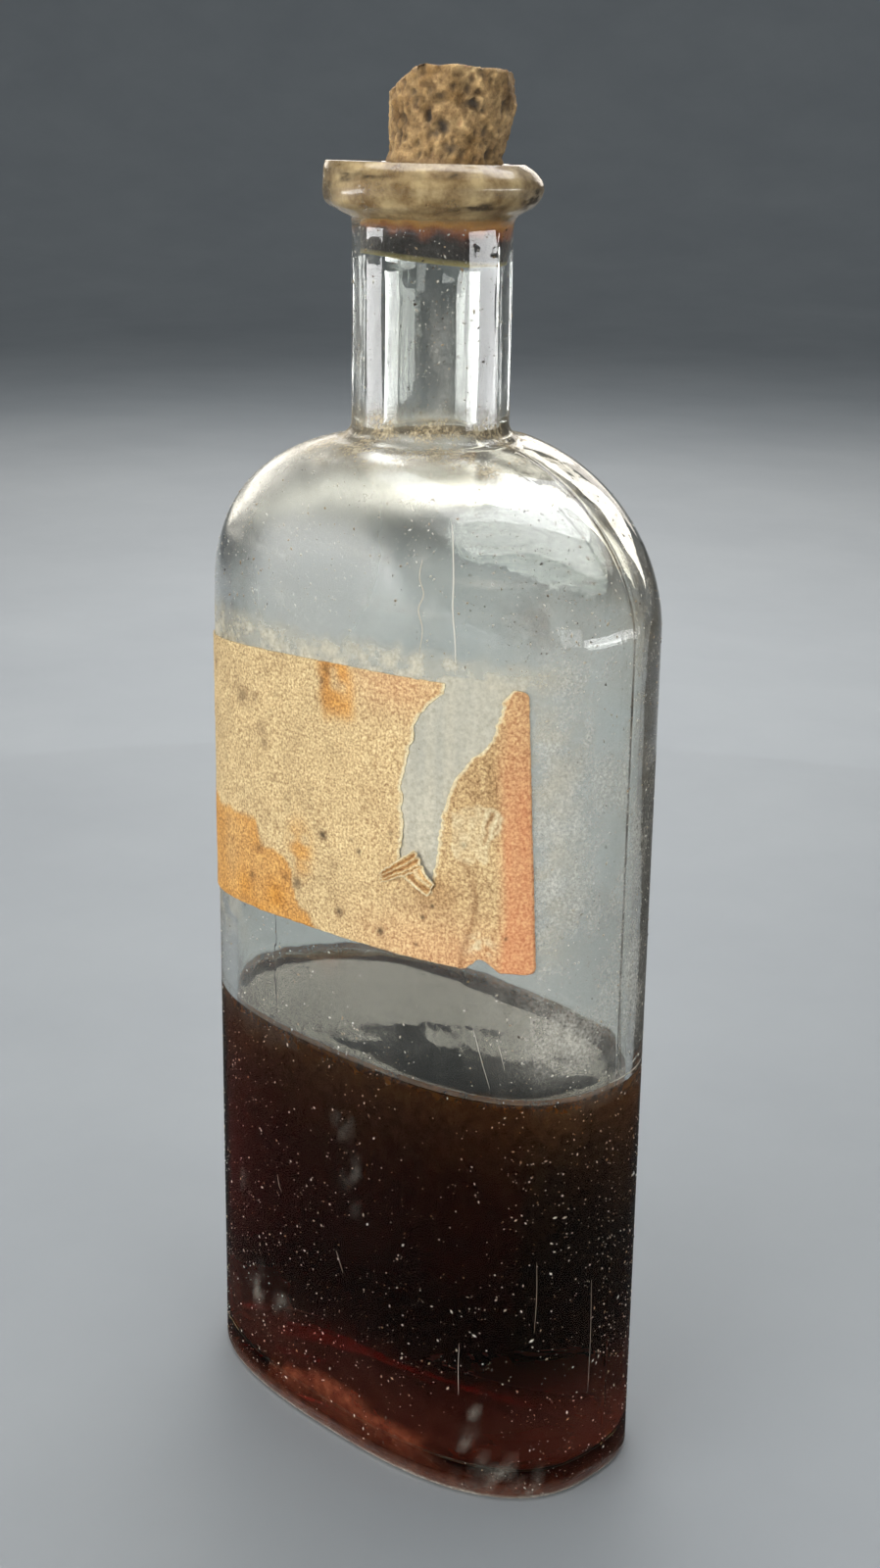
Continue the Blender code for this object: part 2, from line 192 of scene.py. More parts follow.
def thicken(front, back, quads):
    """A closed sheet: the front's faces, the back's turned round, and a rim along each edge of one face only."""
    count = len(front)
    used = np.unique(quads)
    starts = quads.ravel()
    ends = np.roll(quads, -1, axis=1).ravel()
    single = ~np.isin(starts * count + ends, ends * count + starts)
    a, b = starts[single], ends[single]
    rim = np.stack([b, a, a + count, b + count], axis=-1)
    faces = np.concatenate([quads, quads[:, ::-1] + count, rim])
    place = np.full(2 * count, -1)
    place[np.concatenate([used, used + count])] = np.arange(2 * len(used))
    return np.concatenate([front[used], back[used]]), place[faces].tolist(), used


def keep_faces(points, quads, amount, least=0.015):
    """Only the faces where amount is more than the least, with the points that they use."""
    amount = amount.ravel()
    quads = quads[amount[quads].max(axis=1) > least]
    used = np.unique(quads)
    place = np.full(len(amount), -1)
    place[used] = np.arange(len(used))
    return points.reshape(-1, 3)[used], place[quads].tolist(), amount[used]


def joined(pieces):
    """The points and faces of several pieces as those of one."""
    starts = np.cumsum([0] + [len(points) for points, _ in pieces]).tolist()
    faces = [[corner + start for corner in face] for start, (_, part) in zip(starts, pieces) for face in part]
    return np.concatenate([points for points, _ in pieces]), faces


def outward(points):
    """The unit normal of a closed grid whose columns run anticlockwise: the way round crossed with the way on."""
    around = np.roll(points, -1, axis=1) - np.roll(points, 1, axis=1)
    normal = np.cross(around, np.gradient(points, axis=0))
    return normal / np.linalg.norm(normal, axis=-1, keepdims=True).clip(1e-12)


def add_object(name, data):
    """Puts a mesh, lamp or camera into the scene."""
    obj = bpy.data.objects.new(name, data)
    bpy.context.scene.collection.objects.link(obj)
    return obj


def put_mesh(name, points, faces, material, body, slot, values=None):
    """A smooth piece from points in millimetres. values holds numbers for each point, for the material to read."""
    mesh = bpy.data.meshes.new(name)
    mesh.from_pydata((np.asarray(points) * 0.001).tolist(), [], faces)
    mesh.materials.append(material)
    mesh.shade_smooth()
    for key, numbers in (values or {}).items():
        mesh.attributes.new(key, "FLOAT", "POINT").data.foreach_set("value", np.asarray(numbers, np.float32))
    mesh.update()
    obj = add_object(name, mesh)
    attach(obj, body)
    return obj


# Materials


def linear(code):
    """An sRGB hex code as linear red, green, blue and alpha."""
    parts = [int(code[k : k + 2], 16) / 255 for k in (1, 3, 5)]
    return (*[c / 12.92 if c <= 0.04045 else ((c + 0.055) / 1.055) ** 2.4 for c in parts], 1.0)


def new_finish(name):
    """An empty material with its output and one Principled shader, and its node of coordinates' Object output."""
    material = bpy.data.materials.new(name)
    material.use_nodes = True
    return material, add_node(material, "TexCoord").outputs["Object"]


def feed(material, node, inputs):
    """Gives inputs plain values, colours from hex codes, or links from a socket or from a node's first output."""
    for key, value in inputs.items():
        name = key.replace("_", " ").strip()
        socket = node.inputs[int(name) if name.isdigit() else name]
        if isinstance(value, bpy.types.Node):
            value = value.outputs[0]
        if isinstance(value, bpy.types.NodeSocket):
            material.node_tree.links.new(value, socket)
        else:
            socket.default_value = linear(value) if isinstance(value, str) else value


def add_node(material, kind, settings=None, stops=(), **inputs):
    """Adds a node with its settings, the stops of its colour ramp, and its inputs."""
    node = material.node_tree.nodes.new("ShaderNode" + kind)
    for key, value in (settings or {}).items():
        setattr(node, key, value)
    for k, (position, code) in enumerate(stops):
        stop = node.color_ramp.elements[k] if k < 2 else node.color_ramp.elements.new(position)
        stop.position, stop.color = position, linear(code)
    feed(material, node, inputs)
    return node


def set_shader(material, **inputs):
    """Gives the shader's sockets plain values or links, and returns the material."""
    feed(material, material.node_tree.nodes["Principled BSDF"], inputs)
    return material


# Glass


def column_shares():
    """Places round a section from 0 to 1: even steps, and finer ones beside the mould seams at 0 and 0.5."""
    fine = np.array([0.0007, 0.0014, 0.0022, 0.0033, 0.0048])
    beside = np.concatenate([-fine, fine])
    shares = np.concatenate([np.arange(144) / 144, beside % 1.0, 0.5 + beside])
    return np.unique(np.round(shares, 6))


def body_turns(shares):
    """Directions from the middle at which even lengths of the body's oval end, anticlockwise from +X."""
    angle, _, _, walked = body_outline(7200)
    return np.interp(shares, walked / walked[-1], angle)


def body_outline(steps):
    """The body's oval: directions from its middle, x and y in each, and how far round each lies."""
    angle = np.linspace(0.0, 2 * math.pi, steps + 1)
    reach = oval_reach(BODY_HALF_WIDTH, BODY_HALF_DEPTH, BODY_POWER, angle)
    x, y = reach * np.cos(angle), reach * np.sin(angle)
    return angle, x, y, distance_along(np.diff(x), np.diff(y))


def oval_reach(half_width, half_depth, power, turn):
    """How far |x / half_width| ** power + |y / half_depth| ** power = 1 lies from the middle in a direction."""
    across = (np.abs(np.cos(turn)) / half_width) ** power
    deep = (np.abs(np.sin(turn)) / half_depth) ** power
    return (across + deep) ** (-1 / power)


SHARES = column_shares()
BODY_TURNS = body_turns(SHARES)


def sections(table):
    """Rings of points, one for each row (half width, half depth, height, power, roundness, shift, set back, lean).

    Directions go from even lengths of the body's oval to even angles as roundness goes from 0 to 1, and are turned
    a little so that the columns at the two ends follow the mould's parting plane.
    """
    wide, deep, height, power, roundness, shift, back, lean = np.asarray(table, float)[:, :, None].transpose(1, 0, 2)
    turn = (1 - roundness) * BODY_TURNS + roundness * 2 * math.pi * SHARES
    turn = turn + np.minimum(SEAM_Y / wide, 0.17) * np.cos(turn)
    reach = oval_reach(wide, deep, power, turn)
    x = reach * np.cos(turn) + shift - back * math.cos(LEAN_DIRECTION)
    y = reach * np.sin(turn) - back * math.sin(LEAN_DIRECTION)
    drop = lean * (x * math.cos(LEAN_DIRECTION) + y * math.sin(LEAN_DIRECTION))
    return np.stack([x, y, height - drop + 0 * x], axis=-1)


def table_of(count, size, height, **values):
    """Rows for sections: a pair of half sizes, a height and what else is given. The rest is 0, the power the body's."""
    names = ("power", "roundness", "shift", "back", "lean")
    rest = [values.get(name, BODY_POWER if name == "power" else 0.0) for name in names]
    return np.column_stack([np.broadcast_to(column, count) for column in (*size, height, *rest)])


def grown(size, more):
    """A pair of half sizes, both larger by that much."""
    return size[0] + more, size[1] + more


def dome_table(size, foot, count, shift=0.0):
    """Rings of a shallow dome, which stands PUSH_UP_HEIGHT * (1 - out^2) over its foot."""
    out = np.linspace(1 / count, 1, count)
    return table_of(count, (size[0] * out, size[1] * out), foot + PUSH_UP_HEIGHT * (1 - out**2), shift=shift)


def heel_table(size, radius, foot, count, shift=0.0):
    """Rings of a quarter-round heel that starts on the flat foot and ends on the wall."""
    turn = np.linspace(0, math.pi / 2, count)
    heel = grown(size, radius * (np.sin(turn) - 1))
    return table_of(count, heel, foot + radius * (1 - np.cos(turn)), shift=shift)


def wall_table(size, foot, top, count, **values):
    """Level rings up a straight wall or tube, without the first and the last."""
    return table_of(count, size, np.linspace(foot, top, count + 2)[1:-1], **values)


def shoulder_table(size, neck_radius, fillet, height, drift, steps, fillet_steps):
    """Rings from the oval wall up over the arch and in to the round neck.

    With rise from 0 to 1, each half size falls towards a crown inside the neck as (1 - rise ** p) ** (1 / p), and
    p is larger for the depth. A fillet then turns the arch up into the neck.
    """
    crown = SHOULDER_CROWN_SHARE * neck_radius
    width_left = (neck_radius + fillet - crown) / (size[0] - crown)
    last_rise = (1 - width_left**SHOULDER_WIDTH_POWER) ** (1 / SHOULDER_WIDTH_POWER)
    rise = np.sin(np.linspace(0, 1, steps) * math.asin(last_rise))
    powers = (SHOULDER_WIDTH_POWER, SHOULDER_DEPTH_POWER)
    arch = [crown + (half - crown) * (1 - rise**p) ** (1 / p) for half, p in zip(size, powers)]
    up = SHOULDER_START + height * rise / last_rise
    power = BODY_POWER + (2.0 - BODY_POWER) * rise**SHOULDER_ROUNDING_POWER
    roundness = smooth_step(rise / last_rise, 0.0, 1.0)
    over = table_of(steps, arch, up, power=power, roundness=roundness, shift=drift * (1 - rise))
    turn = np.linspace(0, math.pi / 2, fillet_steps + 1)[1:]
    inward = 1 - np.sin(turn)
    bend = [neck_radius + (half[-1] - neck_radius) * inward for half in arch]
    up = SHOULDER_START + height + fillet * (1 - np.cos(turn))
    power = 2.0 + (power[-1] - 2.0) * inward
    into = table_of(fillet_steps, bend, up, power=power, roundness=1.0, shift=drift * (1 - rise[-1]) * inward)
    return np.concatenate([over, into])


def lip_table(count):
    """Rings of the tooled lip. Each size runs smoothly through the CAD lip's shares, along its profile."""
    up, out, back = np.array(LIP_SHARES).T
    overhang = LIP_RADIUS - NECK_RADIUS
    walked = distance_along(np.diff(up) * LIP_HEIGHT, np.diff(out) * overhang)
    even = np.linspace(0, walked[-1], count)
    soft = [soft_curve(walked, row, even) for row in (up, out, back)]
    radius = NECK_RADIUS + overhang * soft[1]
    back = overhang * LIP_SET_BACK_SHARE * soft[2]
    return table_of(count, (radius, radius), LIP_FOOT + LIP_HEIGHT * soft[0], back=back, lean=LIP_LEAN_SHARE, **ROUND)


def soft_curve(known, heights, wanted):
    """A cubic through each known point, with the slope there of the line between its neighbours."""
    slope = np.gradient(heights, known)
    k = np.clip(np.searchsorted(known, wanted, side="right") - 1, 0, len(known) - 2)
    gap = known[k + 1] - known[k]
    t = (wanted - known[k]) / gap
    start = heights[k] * (1 + 2 * t) * (1 - t) ** 2 + gap * slope[k] * t * (1 - t) ** 2
    return start + heights[k + 1] * t * t * (3 - 2 * t) + gap * slope[k + 1] * t * t * (t - 1)


def cork_frame():
    """The cork's own axes in millimetres, with Z up its middle from its foot."""
    hinge = Vector((-math.sin(LEAN_DIRECTION), math.cos(LEAN_DIRECTION), 0.0))
    return np.array(Matrix.Translation((0.0, 0.0, CORK_FOOT)) @ Matrix.Rotation(CORK_LEAN, 4, hinge))


def seat_rings(height, lean, flare):
    """Where the leaning cone that the cork seats in crosses level or leaning planes, opened outwards by flare."""
    own = cork_frame()
    turn = 2 * math.pi * SHARES
    out = np.stack([np.cos(turn), np.sin(turn), 0 * turn], axis=-1)
    foot = (BORE_RADIUS * out) @ own[:3, :3].T + own[:3, 3]
    side = (math.tan(CORK_TAPER) * out + (0.0, 0.0, 1.0)) @ own[:3, :3].T
    lean = np.asarray(lean)[:, None]
    plane = np.stack([lean * math.cos(LEAN_DIRECTION), lean * math.sin(LEAN_DIRECTION), 1 + 0 * lean], axis=-1)
    reach = (np.asarray(height)[:, None] - (foot * plane).sum(-1)) / (side * plane).sum(-1)
    ring = foot + reach[..., None] * side
    away = ring[..., :2] - ring[..., :2].mean(axis=1, keepdims=True)
    ring[..., :2] += np.asarray(flare)[:, None, None] * away / np.linalg.norm(away, axis=-1, keepdims=True)
    return ring


def mouth_rings(round_steps, seat_steps):
    """From the flat top of the lip round into the mouth, and down the seat to the cork's foot."""
    mouth_foot = GLASS_HEIGHT - MOUTH_ROUND
    turn = np.linspace(0, math.pi / 2, round_steps)
    down = np.linspace(0, 1, seat_steps + 1)[1:]
    height = np.concatenate([mouth_foot + MOUTH_ROUND * np.cos(turn), mouth_foot + (CORK_FOOT - mouth_foot) * down])
    lean = np.concatenate([np.full(round_steps, LIP_LEAN_SHARE), LIP_LEAN_SHARE * (1 - down)])
    flare = np.concatenate([MOUTH_ROUND * (1 - np.sin(turn)), 0 * down])
    return seat_rings(height, lean, flare)


def outside_rings():
    """The outside of the glass from the push-up to the lip's top: uneven, with a mould seam up each end."""
    dome = grown(grown(OUTER, -HEEL_RADIUS), -BEARING_WIDTH)
    tables = (
        dome_table(dome, 0.0, 14),
        table_of(3, grown(dome, BEARING_WIDTH * np.linspace(0, 1, 5)[1:-1]), 0.0),
        heel_table(OUTER, HEEL_RADIUS, 0.0, 7),
        wall_table(OUTER, HEEL_RADIUS, SHOULDER_START, 66),
        shoulder_table(OUTER, NECK_RADIUS, NECK_FILLET, SHOULDER_HEIGHT, 0.0, 40, 12),
        wall_table((NECK_RADIUS, NECK_RADIUS), NECK_FOOT, LIP_FOOT, 24, **ROUND),
        lip_table(40),
    )
    rings = sections(np.concatenate(tables))
    height = rings[..., 2]
    normal = outward(rings)
    free = band(height, 2.0, 14.0, 172.0, 174.5)
    hollow = 0.5 + 0.5 * soft_noise(rings, (17, 17, 26), 3)
    ripple = 0.5 + 0.5 * soft_noise(rings, (5, 5, 11), 5)
    sink = free * (0.075 * hollow + 0.022 * ripple)
    neck = band(height, 148.0, 152.0, 171.0, 173.5)
    sink = sink + neck * 0.028 * (1 + soft_noise(rings, (1.1, 1.1, 14), 10))
    on_lip = smooth_step(height, 174.2, 175.2)
    turned = on_lip * (0.10 * soft_noise(rings, (6, 6, 3), 7) + 0.035 * soft_noise(rings, (30, 30, 0.55), 8))
    seam = bell((rings[..., 1] - SEAM_Y) / SEAM_WIDTH) * (np.abs(rings[..., 0]) > 4.0)
    seam *= band(height, 0.6, 2.0, 170.0, 173.0)
    ragged = 0.7 + 0.3 * soft_noise(rings, (4, 4, 2.2), 9)
    return rings + normal * (SEAM_HEIGHT * seam * ragged - sink + turned)[..., None]


def inside_tables():
    """Rings of the cavity from the floor's dome up to the cork's foot."""
    neck_foot = SHOULDER_START + INNER_SHOULDER_HEIGHT + INNER_NECK_FILLET
    tables = (
        dome_table(grown(INNER, -INNER_HEEL_RADIUS), BASE_THICKNESS, 12, CAVITY_DRIFT)[:-1],
        heel_table(INNER, INNER_HEEL_RADIUS, BASE_THICKNESS, 12, CAVITY_DRIFT),
        wall_table(INNER, BASE_THICKNESS + INNER_HEEL_RADIUS, LIQUID_LEVEL, 32, shift=CAVITY_DRIFT),
        table_of(1, INNER, LIQUID_LEVEL, shift=CAVITY_DRIFT),
        wall_table(INNER, LIQUID_LEVEL, SHOULDER_START, 34, shift=CAVITY_DRIFT),
        shoulder_table(INNER, BORE_RADIUS, INNER_NECK_FILLET, INNER_SHOULDER_HEIGHT, CAVITY_DRIFT, 38, 10),
        wall_table((BORE_RADIUS, BORE_RADIUS), neck_foot, CORK_FOOT, 24, **ROUND),
    )
    return np.concatenate(tables)


def inside_rings():
    """The cavity's wall from the floor up, uneven as blown glass is: broad swellings, and fine upright streaks."""
    rings = sections(inside_tables())
    height = rings[..., 2]
    free = band(height, 6.0, 20.0, 164.0, 168.0)
    broad = 0.22 * soft_noise(rings, (19, 19, 30), 11) + 0.07 * soft_noise(rings, (8, 8, 15), 12)
    streaks = 0.05 * soft_noise(rings, (3.2, 3.2, 46), 13)
    streaks = streaks + smooth_step(height, 146.0, 150.0) * 0.03 * soft_noise(rings, (1.1, 1.1, 20), 14)
    return rings + outward(rings) * (free * (broad + streaks))[..., None]


def bubble_points(middle, size, stretch):
    """A seed bubble: an oval of 6 by 8 points about its middle, longer upwards by stretch, skin facing its inside."""
    rise = np.linspace(-1, 1, 8)[1:-1, None] * math.pi / 2
    turn = circle(8)[None, :]
    flat = np.stack([np.cos(rise) * np.cos(turn), np.cos(rise) * np.sin(turn), np.sin(rise) + 0 * turn], axis=-1)
    points, faces = shell(flat, (0, 0, -1.0), (0, 0, 1.0))
    return points * (size, size, size * stretch) + middle, [face[::-1] for face in faces]


def make_glass(material, wetted):
    """One skin: up the outside from the push-up to the lip, then down the inside, with seed bubbles in its wall.

    Faces of the inside that the tincture wets have a finish of their own.
    """
    inside = inside_rings()[::-1]
    rings = np.concatenate([outside_rings(), mouth_rings(6, 22), inside])
    floor = (CAVITY_DRIFT, 0.0, BASE_THICKNESS + PUSH_UP_HEIGHT)
    points, faces = shell(rings, (0.0, 0.0, PUSH_UP_HEIGHT), floor)
    columns = rings.shape[1]
    wet_rows = (inside[:, :, 2].mean(axis=1) < LIQUID_LEVEL + 0.01).sum() - 1
    dry = (len(rings) - 1 - wet_rows) * columns
    wet = np.zeros(len(faces), int)
    wet[dry : (len(rings) - 1) * columns] = 1
    wet[-columns:] = 1
    random = np.random.default_rng(21)
    pieces = [(points, faces)]
    for _ in range(60):
        share = random.uniform(0.0, 1.0)
        height = random.uniform(12.0, 121.0)
        depth = random.uniform(0.8, 1.5)
        turn = np.interp(share, SHARES, BODY_TURNS)
        reach = oval_reach(BODY_HALF_WIDTH - depth, BODY_HALF_DEPTH - depth, BODY_POWER, turn)
        middle = (reach * math.cos(turn), reach * math.sin(turn), height)
        size = 0.09 + 0.16 * random.random() ** 3
        pieces.append(bubble_points(middle, size, random.uniform(1.0, 2.2)))
    points, faces = joined(pieces)
    glass = put_mesh("blown_glass", points, faces, material, "bottle", "bottle_glass")
    glass.data.materials.append(wetted)
    finish = np.zeros(len(faces), np.int32)
    finish[: len(wet)] = wet
    glass.data.polygons.foreach_set("material_index", finish)
    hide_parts("glass_bottle")
    return glass


# Where the shoulder was handled, moved by half of what the noise shifts it
GREASY_PLACE = (0.0035, -0.0134, 0.1380)


def flint_glass():
    """Blown flint glass: clear, faintly grey-green, fire-polished, with dust that dulls its shine in patches.

    A greasy patch on the left of the shoulder blurs what it mirrors.
    """
    material, place = new_finish("blown_flint_glass")
    cloud = add_node(material, "TexNoise", Vector=place, Scale=55.0, Detail=4.0, Roughness=0.6)
    dull = add_node(material, "MapRange", Value=cloud, From_Min=0.45, From_Max=0.75, To_Min=0.010, To_Max=0.045)
    warp = add_node(material, "VectorMath", {"operation": "SCALE"}, Vector=cloud.outputs["Color"], Scale=0.012)
    moved = add_node(material, "VectorMath", {"operation": "ADD"}, _0=place, _1=warp)
    away = add_node(material, "VectorMath", {"operation": "DISTANCE"}, _0=moved, _1=GREASY_PLACE)
    greasy = add_node(
        material, "MapRange", Value=away.outputs["Value"], From_Min=0.010, From_Max=0.027, To_Min=0.30, To_Max=0.0
    )
    rough = add_node(material, "Math", {"operation": "ADD"}, _0=dull, _1=greasy)
    orange_peel = add_node(material, "TexNoise", Vector=place, Scale=260.0, Detail=2.0)
    bump = add_node(material, "Bump", Strength=0.12, Distance=0.0001, Height=orange_peel)
    return set_shader(material, Base_Color="#F1F4F0", Roughness=rough, Transmission_Weight=1.0, IOR=1.51, Normal=bump)


def wetted_glass():
    """The same glass where the tincture wets it: light bends by the ratio 1.51 / 1.36 only, and hardly glints."""
    material, place = new_finish("wetted_flint_glass")
    swirl = add_node(material, "TexNoise", Vector=place, Scale=120.0, Detail=2.0)
    tint = add_node(material, "ValToRGB", stops=((0.3, "#EEF1EC"), (0.7, "#F7F8F5")), Fac=swirl)
    return set_shader(material, Base_Color=tint, Roughness=0.0, Transmission_Weight=1.0, IOR=1.11)


# Tincture


def make_tincture(material, skin_finish):
    """The liquid fills the cavity's wavy wall, reaching just into the glass, and creeps up it by a small meniscus.

    Its top falls from the wall as exp(-distance / 0.9). The skin is that top again, a hair above it, and glints.
    """
    rings = inside_rings()
    wetted = rings[..., 2].mean(axis=1) < LIQUID_LEVEL + 0.01
    wall = (rings + 0.12 * outward(rings))[wetted]
    rim = wall[-1]
    middle = np.array([CAVITY_DRIFT, 0.0])
    share = np.concatenate([1 - np.geomspace(0.003, 0.6, 28), [0.25, 0.1]])
    reach = np.linalg.norm(rim[:, :2] - middle, axis=-1)
    from_wall = (1 - share)[:, None] * reach
    top = np.empty((len(share), len(SHARES), 3))
    top[..., :2] = middle + share[:, None, None] * (rim[None, :, :2] - middle)
    swell = 0.02 * soft_noise(top * (1, 1, 0), (5, 5, 5), 31)
    top[..., 2] = LIQUID_LEVEL - 0.7 * (1 - np.exp(-from_wall / 0.9)) + swell * smooth_step(from_wall, 0.5, 3.0)
    floor = (CAVITY_DRIFT, 0.0, BASE_THICKNESS + PUSH_UP_HEIGHT - 0.12)
    centre = (CAVITY_DRIFT, 0.0, LIQUID_LEVEL - 0.7)
    points, faces = shell(np.concatenate([wall, top]), floor, centre)
    fill = put_mesh("dark_tincture", points, faces, material, "bottle", "tincture")
    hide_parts("liquid_fill")
    sheet = np.concatenate([rim[None], top]) + (0.0, 0.0, 0.03)
    hub = len(sheet) * len(SHARES)
    index = np.arange(hub).reshape(len(sheet), -1)
    skin_faces = grid_faces(*sheet.shape[:2], True).tolist() + pole_faces(index[-1], hub, False).tolist()
    skin_points = np.concatenate([sheet.reshape(-1, 3), [np.array(centre) + (0.0, 0.0, 0.03)]])
    put_mesh("tincture_skin", skin_points, skin_faces, skin_finish, "bottle", "tincture")


def plant_tincture():
    """A strong alcoholic plant extract: nearly black in the deep, red-brown to amber where it is thin.

    Its wall lies in the glass, whose wetted faces bend the light, so it has next to no bend of its own.
    """
    material, _ = new_finish("plant_tincture")
    set_shader(material, Base_Color="#FFFFFF", Roughness=0.0, Transmission_Weight=1.0, IOR=1.001)
    dye = add_node(material, "VolumeAbsorption", Color=(0.86, 0.55, 0.0, 1.0), Density=700.0)
    output = material.node_tree.nodes["Material Output"]
    material.node_tree.links.new(dye.outputs["Volume"], output.inputs["Volume"])
    return material


def tincture_surface():
    """The liquid's still, mirror-smooth top, with patches of faint scum that dull it."""
    material, place = new_finish("still_tincture_surface")
    scum = add_node(material, "TexNoise", Vector=place, Scale=110.0, Detail=5.0, Roughness=0.6)
    dull = add_node(material, "MapRange", Value=scum, From_Min=0.45, From_Max=0.7, To_Min=0.01, To_Max=0.06)
    return set_shader(material, Base_Color="#F4E9E0", Roughness=dull, Transmission_Weight=1.0, IOR=1.36)


# Cork

# Its radius halfway up what shows of it, and the height above the floor at which its broken top lies level
CORK_MIDDLE_RADIUS = 8.0
CORK_WORN_TOP = 192.7
# Large pores and pits: angle round the cork, height from its foot, half width, half height, depth, in degrees and mm
CORK_PITS = (
    (-66, 17.9, 0.6, 1.0, 0.7), (-51, 16.8, 0.9, 0.9, 0.8), (-58, 16.0, 0.5, 0.6, 0.5), (-25, 20.0, 1.3, 0.6, 0.9),
    (-15, 19.4, 0.5, 0.4, 0.5), (-41, 14.4, 1.0, 0.7, 0.5), (-74, 12.9, 0.5, 0.9, 0.6), (-95, 17.3, 0.4, 0.7, 0.4),
    (-9, 17.0, 0.6, 0.5, 0.4), (9, 20.9, 0.4, 0.5, 0.5), (2, 14.2, 0.5, 1.0, 0.5), (-100, 15.0, 0.4, 0.9, 0.6),
    (-56, 20.6, 0.6, 0.4, 0.4), (-84, 20.4, 0.6, 0.6, 0.4),
)


def cork_side(up):
    """The cork's radius at that height: the seat's own cone, pressed into the bore, and a little under it above."""
    seat = BORE_RADIUS + math.tan(CORK_TAPER) * up
    return seat + 0.07 - 0.32 * smooth_step(up, 11.6, 13.2)


def make_cork(material):
    """A turned cork on its own axis: foot, side and top, then crumbled, pitted and broken at its top edge."""
    columns = 220
    foot_out = np.linspace(0.04, 1, 12)
    side_up = np.linspace(0.25, CORK_LENGTH - 0.35, 104)
    top_out = np.linspace(1, 0.03, 34)
    foot_radius, top_radius = cork_side(0.0) - 0.25, cork_side(CORK_LENGTH) - 0.35
    radius = np.concatenate([foot_radius * foot_out, cork_side(side_up), top_radius * top_out])
    up = np.concatenate([0 * foot_out, side_up, CORK_LENGTH + 0 * top_out])
    turn = circle(columns)
    radius, up = radius[:, None], up[:, None]
    points = np.stack([radius * np.cos(turn), radius * np.sin(turn), up + 0 * turn], axis=-1)
    for direction, width, drop in ((225, 4.5, 5.0), (38, 1.7, 5.6), (130, 1.2, 1.4), (300, 0.6, 0.5)):
        points = break_edge(points, math.radians(direction), width, drop)
    normal = outward(points)
    free = smooth_step(points[..., 2], 11.8, 13.6)
    crumb = 0.16 * crumb_noise(points, 2.6, 41) + 0.14 * crumb_noise(points, 0.8, 47, 3)
    crumb = crumb + 0.10 * soft_noise(points, 0.45, 49)
    bore_marks = 0.015 * soft_noise(points, (1.2, 1.2, 6.0), 52)
    pits, dark = cork_pits(points)
    small = np.clip(soft_noise(points, (0.8, 0.8, 1.1), 55) - 0.42, 0, 1) * 0.55
    own = points + normal * (free * (crumb - 0.16 - pits - small) + (1 - free) * bore_marks)[..., None]
    level = CORK_WORN_TOP + 0.35 * crumb_noise(points, 3.0, 58, 3)
    matrix = cork_frame()
    placed = own @ matrix[:3, :3].T + matrix[:3, 3]
    placed[..., 2] = np.minimum(placed[..., 2], level)
    foot_pole = matrix[:3, 3]
    top_pole = matrix[:3, :3] @ (0, 0, CORK_LENGTH) + matrix[:3, 3]
    top_pole[2] = level[-1].mean()
    skin, faces = shell(placed, foot_pole, top_pole)
    height = np.append(points[..., 2].ravel(), [0.0, CORK_LENGTH])
    # hollow: how dark the pits and small pores are painted, partly their own colour and partly painted shade
    hollow = np.append((free * np.clip(dark + 1.3 * small, 0, 1)).ravel(), [0.0, 0.0])
    relief = np.append((free * crumb).ravel(), [0.0, 0.0])
    values = {"up": height, "hollow": hollow, "relief": relief}
    cork = put_mesh("worn_cork", skin, faces, material, "stopper", "cork_bark", values)
    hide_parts("cork_stopper")
    return cork


def break_edge(points, direction, width, drop):
    """Presses every point that stands over a slanting plane back onto it. It takes width off the top."""
    slope = math.atan2(drop, width)
    normal = np.array([math.sin(slope) * math.cos(direction), math.sin(slope) * math.sin(direction), math.cos(slope)])
    out = cork_side(CORK_LENGTH) - width
    corner = np.array([out * math.cos(direction), out * math.sin(direction), CORK_LENGTH])
    over = np.maximum((points - corner) @ normal, 0)
    return points - over[..., None] * normal


def cork_pits(points):
    """Depth of the pits at each point, as smooth bowls, and how dark each is."""
    points = points + 0.30 * np.stack([crumb_noise(points, 1.1, seed, 3) for seed in (62, 66, 70)], axis=-1)
    turn = np.degrees(np.arctan2(points[..., 1], points[..., 0]))
    random = np.random.default_rng(61)
    scattered = []
    for _ in range(90):
        angle, up = random.uniform(-180, 180), random.uniform(12.5, 24.3)
        scattered.append((angle, up, random.uniform(0.2, 0.5), random.uniform(0.25, 0.7), 0.35))
    depth, dark = 0.0, 0.0
    for angle, up, half_width, half_height, deep in list(CORK_PITS) + scattered:
        aside = (turn - angle + 180) % 360 - 180
        across = np.radians(aside) * CORK_MIDDLE_RADIUS / half_width
        along = (points[..., 2] - up) / half_height
        bowl = np.exp(-((across**2 + along**2) ** 1.5))
        depth = np.maximum(depth, deep * bowl)
        dark = np.maximum(dark, bowl * min(1.0, deep / 0.6))
    return depth, dark


